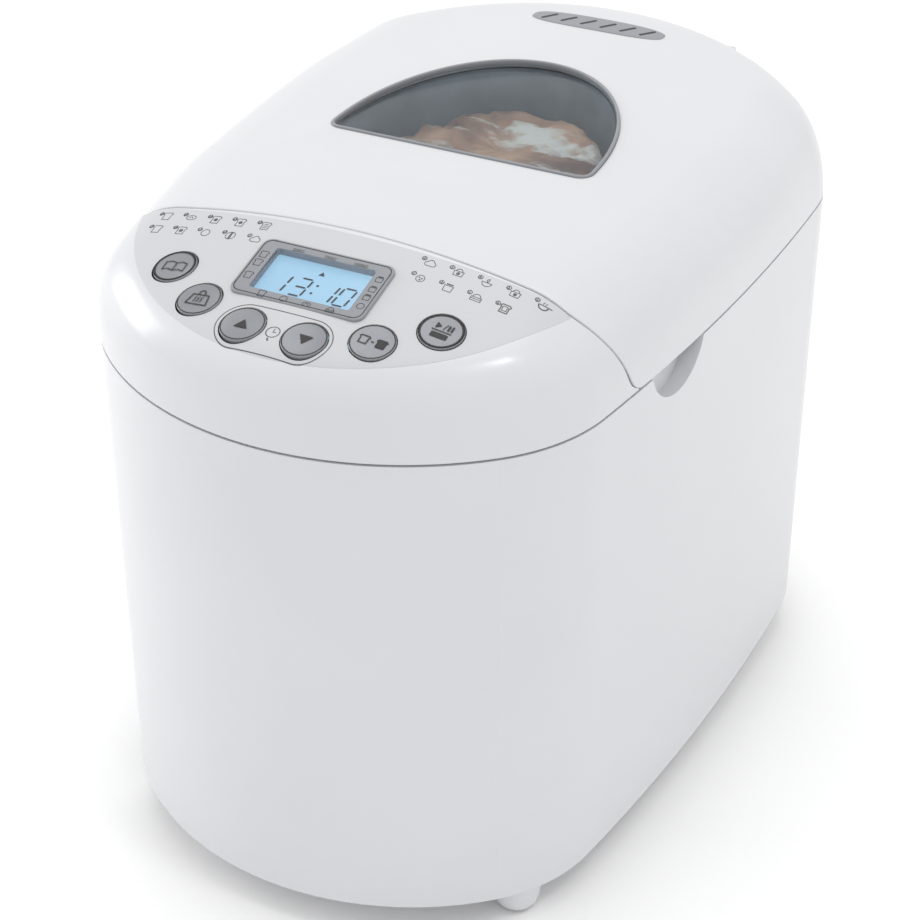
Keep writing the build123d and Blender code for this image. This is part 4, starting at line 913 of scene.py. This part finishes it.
def build_buttons():
    """Button caps: a slightly hollow top, a soft edge and a plain side, turned about each normal."""
    edge = circle(0, 0, 1.0, count=64)
    for name, (x, y) in BUTTONS.items():
        rings = [tangent_place(x, y, r * edge[:, 0], r * edge[:, 1], height - CAP_SINK)
                 for r, height in CAP_PROFILE]
        make_piece(name + "_cap", [loft(rings, caps=True)], name + "_body", paint_of("button_grey"), [name])
        marks = [stroke(circle(0, 0, 7.95), 0.5, True)] + button_symbol(name)
        if name in ("button_menu", "button_start_stop"):
            marks.append(stroke(circle(0, 0, 7.75), 1.0, True))
        parts = [(tangent_place(x, y, p[:, 0], p[:, 1], 0.62), f) for p, f in marks]
        make_piece(name + "_symbol", parts, name + "_body", print_paint("black_ink", 0.02))


def tangent_place(x, y, across, along, lift):
    """Points given in the plane that touches the panel at (x, y), raised by lift."""
    normal = np.array([2 * PANEL_CROWN * x, -PANEL_SLOPE, 1.0])
    normal /= np.linalg.norm(normal)
    right = np.array([1.0, 0.0, -2 * PANEL_CROWN * x])
    right /= np.linalg.norm(right)
    up = np.cross(normal, right)
    origin = np.array([x, y, panel_height(x, y)])
    return origin + across[:, None] * right + along[:, None] * up + lift * normal


def button_symbol(name):
    """Flat symbol of each button."""
    if name == "button_menu":
        left = [(0, -2.3), (-2.2, -1.6), (-4.4, -2.3), (-4.4, 1.8), (-2.2, 2.5), (0, 1.8)]
        right = [(-px, py) for px, py in left]
        return [stroke(left, 0.4), stroke(right, 0.4), stroke([(0, -2.3), (0, 1.8)], 0.4)]
    if name == "button_weight":
        body = [(-4.2, -3.0), (4.2, -3.0), (3.2, 2.0), (-3.2, 2.0)]
        waves = [stroke([(sx - 0.5, -1.8), (sx, -0.8), (sx - 0.3, 0.2), (sx + 0.3, 1.0)], 0.35)
                 for sx in (-1.3, 0.0, 1.3)]
        return [stroke(body, 0.45, True), stroke(circle(0, 3.0, 1.2, -30, 210), 0.45)] + waves
    if name in ("button_up", "button_down"):
        way = 1 if name == "button_up" else -1
        points = np.array([(-2.7, -1.9 * way), (2.7, -1.9 * way), (0.0, 2.3 * way)])
        return [(points, np.array([[0, 1, 2]]))]
    if name == "button_browning":
        slice_line = np.array([(-1.7, -1.7), (1.3, -1.7), (1.3, 0.7), (1.8, 1.3), (1.2, 1.9), (-1.7, 1.9),
                               (-2.2, 1.3), (-1.7, 0.7)])
        empty, full = slice_line + np.array([-3.2, 0]), slice_line + np.array([3.6, 0])
        fill = stroke([(3.4, -1.5), (3.4, 1.7)], 2.6)
        return [stroke(empty, 0.4, True), stroke(full, 0.5, True), fill, stroke([(-0.6, 0), (0.6, 0)], 0.4)]
    play = np.array([(-3.0, 0.9), (-3.0, 3.7), (-0.9, 2.3)])
    bars = [stroke([(bx, 1.0), (bx, 3.6)], 0.75) for bx in (1.9, 3.2)]
    slash = stroke([(0.0, 0.8), (1.0, 3.8)], 0.3)
    return [(play, np.array([[0, 1, 2]])), *bars, slash, stroke([(-3.8, 0.0), (3.8, 0.0)], 0.4),
            stroke([(-3.2, -2.2), (3.2, -2.2)], 2.3)]


def build_display():
    """Bezel, the figures on the lit screen and the small marks printed round it."""
    profile = [(BEZEL, 0.0, -2.6), (BEZEL, 0.0, 0.1), (BEZEL, -0.15, 0.35), (BEZEL, -0.5, 0.5),
               (SCREEN, 0.5, 0.5), (SCREEN, 0.15, 0.42), (SCREEN, 0.0, 0.2), (SCREEN, 0.0, -2.6)]
    rings = [bezel_ring(size, grow, lift) for size, grow, lift in profile]
    make_piece("display_surround", [loft(rings, wrap_rows=True)], "casing", paint_of("grey_plastic"),
               ["display_bezel"])
    shapes = []
    for centre, digit in ((-12.6, "1"), (-4.4, "3"), (6.6, "1"), (13.4, "0")):
        shapes += moved(seven_segment(digit), centre, -0.9)
    shapes += [disc(1.3, 1.6, 0.55), disc(0.8, -2.6, 0.55)]
    shapes += [triangle(0.0, 7.6, 1.3, 1), triangle(-3.9, -8.2, 1.1, -1)]
    make_piece("display_figures", on_screen(shapes, -1.2, -3.1), "casing", print_paint("lcd_ink", 0.03))
    marks = [stroke(rounded_rectangle(25.9, 13.9, 3.2), 0.35, True)]
    for x, words in ((-12.0, "500G"), (1.0, "750G"), (13.4, "1000G")):
        marks += moved([text_shape(words, 1.5)], x, 11.6)
    for y in (5.9, 1.4, -5.6):
        marks += moved(icon("slice"), -23.2, y, 0.85)
    for y, kind in ((7.0, "jar"), (1.7, "jar"), (-2.8, "jar"), (-7.6, "ring")):
        marks += moved(icon(kind), 23.4, y, 0.8)
    for x, kind in ((-13.6, "slice"), (-4.7, "ring"), (4.6, "oval"), (14.1, "cake")):
        marks += moved(icon(kind), x, -12.9, 0.8)
    make_piece("display_marks", on_screen(marks, 0.0, 0.56), "casing", print_paint("black_ink", 0.02))


def moved(shapes, x, y, scale=1.0):
    """Flat shapes made larger or smaller, then moved."""
    return [(points * scale + np.array([x, y]), faces) for points, faces in shapes]


def on_screen(shapes, rise, lift):
    """Flat shapes drawn in the display's plane, brought to its middle and laid on it."""
    slope = np.array([1, math.cos(math.atan(PANEL_SLOPE))])
    return [(on_display(points * slope + np.array([0, PANEL_Y + rise]), lift), faces)
            for points, faces in shapes]


def bezel_ring(size, grow, lift):
    """Rounded rectangle of the display, in its own plane."""
    half_x, half_y, corner = size
    curve = rounded_rectangle(half_x + grow, half_y + grow, max(corner + grow, 0.2))
    return on_screen([(curve, None)], 0.0, lift)[0][0]


def triangle(x, y, size, way):
    """Small filled triangle that points up or down."""
    points = np.array([(-size, -0.7 * size * way), (size, -0.7 * size * way), (0, 0.9 * size * way)])
    return points + np.array([x, y]), np.array([[0, 1, 2]])


def seven_segment(digit):
    """Leaning figure made of pointed bars."""
    lit = {"0": "abcdef", "1": "bc", "3": "abcdg"}[digit]
    half, tall = 2.5, 4.6
    ends = {
        "a": ((-half, tall), (half, tall)), "b": ((half, tall), (half, 0)), "c": ((half, 0), (half, -tall)),
        "d": ((-half, -tall), (half, -tall)), "e": ((-half, 0), (-half, -tall)),
        "f": ((-half, tall), (-half, 0)), "g": ((-half, 0), (half, 0)),
    }
    shapes = []
    for key in lit:
        start, end = (np.array(p, float) for p in ends[key])
        way = (end - start) / np.linalg.norm(end - start)
        side = np.array([-way[1], way[0]]) * 0.42
        first, last = start + way * 0.35, end - way * 0.35
        points = np.array([first, first + way * 0.42 + side, first + way * 0.42 - side,
                           last - way * 0.42 + side, last - way * 0.42 - side, last])
        points = points + np.stack([points[:, 1] * 0.14, np.zeros(6)], -1)
        shapes.append((points, np.array([[0, 1, 2], [1, 3, 4], [1, 4, 2], [3, 5, 4]])))
    return shapes


def icon(kind):
    """Small line drawing about 4.4 mm wide, centred on the origin."""
    thin = 0.28
    half_crust = [(1.5, -1.9), (1.5, 0.5), (2.0, 1.2), (1.4, 1.9)]
    crust = [(-1.5, -1.9), *half_crust, (-1.4, 1.9), (-2.0, 1.2), (-1.5, 0.5)]
    rungs = [stroke([(-0.9, height), (0.9, height)], thin) for height in (-0.9, 0, 0.9)]
    drawings = {
        "slice": [stroke(crust, thin, True)],
        "slice_dot": [stroke(crust, thin, True), disc(0, 0, 0.8)],
        "slice_lines": [stroke(crust, thin, True), *rungs],
        "oval": [stroke(circle(0, 0, 2.0) * np.array([1, 0.6]), thin, True),
                 stroke([(-0.9, -0.2), (0.0, 0.5), (0.9, -0.2)], thin)],
        "ring": [stroke(circle(0, 0, 1.7), thin, True)],
        "split_ring": [stroke(circle(0, 0, 1.9), thin, True), stroke([(0, -1.9), (0, 1.9)], 0.9)],
        "cloud": [stroke(np.concatenate([circle(-1.1, -0.4, 1.0, 90, 270), circle(1.1, -0.4, 1.0, -90, 60),
                                         circle(0, 0.5, 1.1, 20, 160)]), thin, True)],
        "bowl": [stroke(circle(0, 0, 1.8, 180, 360), thin), stroke([(-2.1, 0), (2.1, 0)], thin),
                 stroke([(0, 0.2), (-0.4, 1.2), (0.3, 2.0), (0.5, 1.0), (0, 0.2)], thin)],
        "pot": [stroke([(-1.6, -1.6), (1.6, -1.6), (1.9, 0.6), (-1.9, 0.6)], thin, True),
                stroke(circle(0, 0.6, 1.2, 0, 180), thin), disc(0, -0.5, 0.7)],
        "pan": [stroke(circle(-0.3, 0.2, 1.8, 180, 360), 0.5), stroke([(-2.1, 0.2), (2.9, 0.6)], 0.4),
                stroke([(-0.8, 0.8), (-0.4, 1.9)], thin), stroke([(0.2, 0.8), (0.6, 1.9)], thin)],
        "cookie": [stroke(circle(0, 0, 1.6), thin, True), disc(-0.5, 0.4, 0.35), disc(0.6, 0.1, 0.35),
                   disc(0, -0.7, 0.35)],
        "jar": [stroke([(-1.5, -1.8), (1.5, -1.8), (1.7, 0.9), (-1.7, 0.9)], thin, True),
                stroke([(-1.3, 1.6), (1.3, 1.6)], 0.6)],
        "cake": [stroke([(-2.0, -1.5), (2.0, -1.5), (2.0, 0.2), (-2.0, 0.2)], thin, True),
                 stroke([(-2.0, -0.6), (2.0, -0.6)], thin), stroke(circle(0, 0.2, 1.5, 0, 180), thin)],
        "frame": [stroke(crust, 0.45, True), stroke(np.array(crust) * 0.55, thin, True)],
    }
    return drawings[kind]


def build_prints():
    """Programme pictures with their numbers, the pill round the arrows and the clock."""
    rows = [
        (-74.6, 10.75, -104.2, ("slice", "oval", "slice_dot", "slice_dot", "slice_lines")),
        (-74.6, 10.75, -111.6, ("slice", "slice_dot", "ring", "split_ring", "cloud")),
        (35.8, 11.1, -103.2, ("cloud", "pot", "bowl", "pot", "pan")),
        (35.8, 11.0, -111.3, ("cookie", "jar", "cake", "frame")),
    ]
    shapes, numbers = [], []
    for start, step, y, kinds in rows:
        for index, kind in enumerate(kinds):
            x = start + step * index
            shapes += moved(icon(kind), x, y) + [disc(x - 3.2, y + 1.5, 1.0)]
            numbers += moved([text_shape(str(len(numbers) + 1), 1.0)], x - 3.2, y + 1.5)
    x, y = BUTTONS["button_down"]
    pill = np.concatenate([circle(x, y, 10.0, -90, 90), circle(-x, y, 10.0, 90, 270)])
    clock_y = y - 0.2
    shapes += [
        stroke(pill, 0.35, True),
        stroke(circle(0, clock_y, 2.5), 0.35, True),
        stroke([(0, clock_y + 1.7), (0, clock_y), (1.3, clock_y)], 0.3),
        stroke([(-0.5, clock_y - 3.1), (0.2, clock_y - 4.3)], 0.6),
    ]
    make_piece("panel_prints", lay(shapes, 0.16, on_panel), "casing", print_paint("grey_ink", 0.09))
    make_piece("panel_numbers", lay(numbers, 0.2, on_panel), "casing", print_paint("white_ink", 0.8))


def loaf_rings(top):
    """Rounded-square rings of the loaf: round hollow, drafted side, then a dome that closes at the top."""
    turn = np.linspace(0, 2 * math.pi, 220, endpoint=False)
    wave = np.stack([np.cos(turn), np.sin(turn)], -1)
    square = np.sign(wave) * np.abs(wave) ** LOAF_SQUARENESS
    half = np.array([LOAF_HALF_X, LOAF_HALF_Y])
    middle = np.array([0, CENTRE_Y])
    hollow = [(r, HOLLOW_TOP_Z) for r in (0.5, 20, 40, HOLLOW_R - 2)]
    hollow += [(HOLLOW_R, HOLLOW_TOP_Z - 3), (HOLLOW_R, LOAF_FLOOR_Z)]
    rings = [ring_at(middle + r * wave, z) for r, z in hollow]
    for z in np.linspace(LOAF_FLOOR_Z, LOAF_WAIST_Z, 26):
        draft = (LOAF_WAIST_Z + 2 - z) * LOAF_DRAFT
        rings.append(ring_at(middle + square * (half - draft), z))
    for part in np.linspace(0.02, 1, 120):
        scale = max((1 - part**1.9) ** (1 / 2.6), 0.004)
        z = LOAF_WAIST_Z + (top - LOAF_WAIST_Z) * math.sin(part * math.pi / 2) ** 0.8
        rings.append(ring_at(middle + square * half * scale, z))
    return np.array(rings)


def build_loaf():
    """Baked loaf in the pan: its rings, with sine lumps, a torn groove and a swell under the window."""
    look = bpy.context.scene.bread_machine
    top = look.loaf_height / MM
    grid = loaf_rings(top)
    x, y, z = grid[..., 0], grid[..., 1], grid[..., 2]
    lumps = np.sin(x * 0.21 + 1.3 * np.sin(y * 0.13)) * np.sin(y * 0.17 + 0.9 * np.sin(x * 0.11))
    small = np.sin(x * 0.63 + y * 0.37) * np.sin(y * 0.71 - x * 0.29)
    tear = np.exp(-((y - CENTRE_Y - 4 - 6 * np.sin(x * 0.06)) / 5.0) ** 2)
    high = ease((z - LOAF_WAIST_Z + 2) / 12)
    level = np.minimum(z + high * (1.8 * lumps + 0.7 * small + 1.5), top + 1.5)
    half_x, depth, base, _ = WINDOW
    ahead = y - base - 2
    oval = np.hypot(x / (half_x - 1), np.maximum(ahead, 0) / (depth - 4))
    near = np.clip(1 - np.minimum((1 - oval) / 0.10, ahead / 9), 0, 1)
    swell = (1 - near**2.2) ** (1 / 2.2) * high
    rise = look.loaf_swell / MM - np.maximum(-x / half_x, 0)
    raised = level + swell * (rise + 1.1 * lumps + 0.8 * small - 2.5 * tear)
    grid[..., 2] = -smooth_max(-raised, -LOAF_TOP_Z, 0.6)
    make_piece("bread_loaf", [loft(grid, caps=True)], "pan", crust_paint(look), crease=60)


def paint_frame():
    """Give every CAD node that still shows the material of its slot."""
    for row in frame["record"]["subparts"]:
        node = frame["nodes"][row["node"]]
        node.data.materials.clear()
        node.data.materials.append(paint_of(row["material_slot"]))


def build_stage():
    """Pale floor, white surroundings, soft lights and the camera."""
    scene = bpy.context.scene
    scene.view_settings.view_transform = "Standard"
    size = 6.0
    sheet = bpy.data.meshes.new("floor")
    sheet.from_pydata([(-size, -size, 0), (size, -size, 0), (size, size, 0), (-size, size, 0)], [],
                      [(0, 1, 2, 3)])
    sheet.materials.append(material("floor_paper", (0.96, 0.96, 0.96), 0.95, vary=0.01, bump=0.0))
    floor = bpy.data.objects.new("floor", sheet)
    scene.collection.objects.link(floor)
    world = bpy.data.worlds.new("studio")
    scene.world = world
    world.use_nodes = True
    sky = world.node_tree.nodes["Background"]
    sky.inputs["Color"].default_value = (1, 1, 1, 1)
    sky.inputs["Strength"].default_value = 0.98
    add_lamp("top", (-0.1, 0.4, 1.8), 1.2, 5.0)
    add_lamp("left", (-1.75, -0.15, 0.6), 0.8, 8.5)
    add_lamp("spot", (0.74, -0.26, 1.58), 0.22, 2.5)
    add_camera()


def add_lamp(name, place, width, power):
    """Square lamp, in metres and watts, that looks at the middle of the machine."""
    light = bpy.data.lights.new(name, "AREA")
    light.size, light.energy = width, power
    lamp = bpy.data.objects.new(name, light)
    lamp.location = place
    aim = Vector((0, 0, 0.15)) - lamp.location
    lamp.rotation_euler = aim.to_track_quat("-Z", "Y").to_euler()
    bpy.context.scene.collection.objects.link(lamp)


def add_camera():
    """Camera that looks down at the machine from its front right."""
    turn, down, roll = math.radians(26.774), math.radians(32.511), math.radians(-0.119)
    distance, aim_height, aim_right = 0.974, 0.1178, -0.0043365
    camera = bpy.data.cameras.new("camera")
    camera.lens = 88.47
    eye = bpy.data.objects.new("camera", camera)
    bpy.context.scene.collection.objects.link(eye)
    ahead = Vector((-math.sin(turn) * math.cos(down), math.cos(turn) * math.cos(down), -math.sin(down)))
    right = Vector((math.cos(turn), math.sin(turn), 0))
    up = right.cross(ahead)
    level_right = math.cos(roll) * right + math.sin(roll) * up
    level_up = -math.sin(roll) * right + math.cos(roll) * up
    place = Vector((0, 0, aim_height)) + right * aim_right - ahead * distance
    axes = Matrix((level_right, level_up, -ahead)).transposed().to_4x4()
    eye.matrix_world = Matrix.Translation(place) @ axes
    bpy.context.scene.camera = eye


# ------------------------------------------------------------------ add-on


class BreadMachineLook(bpy.types.PropertyGroup):
    """Sizes and colours that a user may change."""

    shell_colour: FloatVectorProperty(
        name="Shell colour", description="Colour of casing and lid", subtype="COLOR",
        default=(0.625, 0.63, 0.65), min=0, max=1)
    trim_colour: FloatVectorProperty(
        name="Trim colour", description="Colour of buttons, bezel and vent", subtype="COLOR",
        default=(0.245, 0.255, 0.275), min=0, max=1)
    display_colour: FloatVectorProperty(
        name="Display colour", description="Colour of the lit display", subtype="COLOR",
        default=(0.44, 0.72, 0.92), min=0, max=1)
    crust_colour: FloatVectorProperty(
        name="Crust colour", description="Dark colour of the loaf's crust", subtype="COLOR",
        default=(0.24, 0.10, 0.055), min=0, max=1)
    loaf_height: FloatProperty(
        name="Loaf height", description="Height of the loaf's shoulders above the floor", subtype="DISTANCE",
        unit="LENGTH", default=0.204, min=0.190, max=0.206)
    loaf_swell: FloatProperty(
        name="Loaf swell", description="How far the loaf's middle stands up under the window",
        subtype="DISTANCE", unit="LENGTH", default=0.047, min=0.0, max=0.047)


class BREAD_OT_paint(bpy.types.Operator):
    """Give every CAD node that still shows the material of its slot."""

    bl_idname = "bread_machine.paint"
    bl_label = "Materials"
    bl_options = {"REGISTER", "UNDO"}

    def execute(self, context):
        paint_frame()
        return {"FINISHED"}


class BREAD_OT_casing(bpy.types.Operator):
    """Build the control housing, film, deck, seam skirt and hinge block."""

    bl_idname = "bread_machine.casing"
    bl_label = "Casing"
    bl_options = {"REGISTER", "UNDO"}

    def execute(self, context):
        build_casing()
        return {"FINISHED"}


class BREAD_OT_feet(bpy.types.Operator):
    """Build the four round-ended legs and their pads."""

    bl_idname = "bread_machine.feet"
    bl_label = "Feet"
    bl_options = {"REGISTER", "UNDO"}

    def execute(self, context):
        build_feet()
        return {"FINISHED"}


class BREAD_OT_lid(bpy.types.Operator):
    """Build the lid moulding with its hinge arms."""

    bl_idname = "bread_machine.lid"
    bl_label = "Lid"
    bl_options = {"REGISTER", "UNDO"}

    def execute(self, context):
        build_lid()
        return {"FINISHED"}


class BREAD_OT_window(bpy.types.Operator):
    """Build the gasket and the clear pane of the window."""

    bl_idname = "bread_machine.window"
    bl_label = "Window"
    bl_options = {"REGISTER", "UNDO"}

    def execute(self, context):
        build_window()
        return {"FINISHED"}


class BREAD_OT_vent(bpy.types.Operator):
    """Build the vent plate and its slots."""

    bl_idname = "bread_machine.vent"
    bl_label = "Vent"
    bl_options = {"REGISTER", "UNDO"}

    def execute(self, context):
        build_vent()
        return {"FINISHED"}


class BREAD_OT_buttons(bpy.types.Operator):
    """Build the six button caps with their symbols."""

    bl_idname = "bread_machine.buttons"
    bl_label = "Buttons"
    bl_options = {"REGISTER", "UNDO"}

    def execute(self, context):
        build_buttons()
        return {"FINISHED"}


class BREAD_OT_display(bpy.types.Operator):
    """Build the bezel, figures and marks of the display."""

    bl_idname = "bread_machine.display"
    bl_label = "Display"
    bl_options = {"REGISTER", "UNDO"}

    def execute(self, context):
        build_display()
        return {"FINISHED"}


class BREAD_OT_prints(bpy.types.Operator):
    """Build the programme pictures and numbers of the panel."""

    bl_idname = "bread_machine.prints"
    bl_label = "Panel prints"
    bl_options = {"REGISTER", "UNDO"}

    def execute(self, context):
        build_prints()
        return {"FINISHED"}


class BREAD_OT_loaf(bpy.types.Operator):
    """Build the loaf that shows through the window."""

    bl_idname = "bread_machine.loaf"
    bl_label = "Loaf"
    bl_options = {"REGISTER", "UNDO"}

    def execute(self, context):
        build_loaf()
        return {"FINISHED"}


class BREAD_OT_stage(bpy.types.Operator):
    """Build the floor, the lamps and the camera."""

    bl_idname = "bread_machine.stage"
    bl_label = "Stage"
    bl_options = {"REGISTER", "UNDO"}

    def execute(self, context):
        build_stage()
        return {"FINISHED"}


OPERATORS = [
    BREAD_OT_paint, BREAD_OT_casing, BREAD_OT_feet, BREAD_OT_lid,
    BREAD_OT_window, BREAD_OT_vent, BREAD_OT_buttons, BREAD_OT_display,
    BREAD_OT_prints, BREAD_OT_loaf, BREAD_OT_stage,
]


class BREAD_PT_panel(bpy.types.Panel):
    """Sidebar panel with the sizes, colours and building steps."""

    bl_label = "Bread machine"
    bl_space_type = "VIEW_3D"
    bl_region_type = "UI"
    bl_category = "Bread machine"

    def draw(self, context):
        look = context.scene.bread_machine
        for name in BreadMachineLook.__annotations__:
            self.layout.prop(look, name)
        for step in OPERATORS:
            self.layout.operator(step.bl_idname)


CLASSES = [BreadMachineLook, *OPERATORS, BREAD_PT_panel]


def register():
    """Add the classes and the scene's settings."""
    for cls in CLASSES:
        bpy.utils.register_class(cls)
    bpy.types.Scene.bread_machine = PointerProperty(type=BreadMachineLook)


def unregister():
    """Take the classes and the settings away."""
    del bpy.types.Scene.bread_machine
    for cls in reversed(CLASSES):
        bpy.utils.unregister_class(cls)


def main():
    """Register the add-on and build everything in order."""
    register()
    for step in OPERATORS:
        getattr(bpy.ops.bread_machine, step.bl_idname.split(".")[1])()


if __name__ == "__main__":
    main()
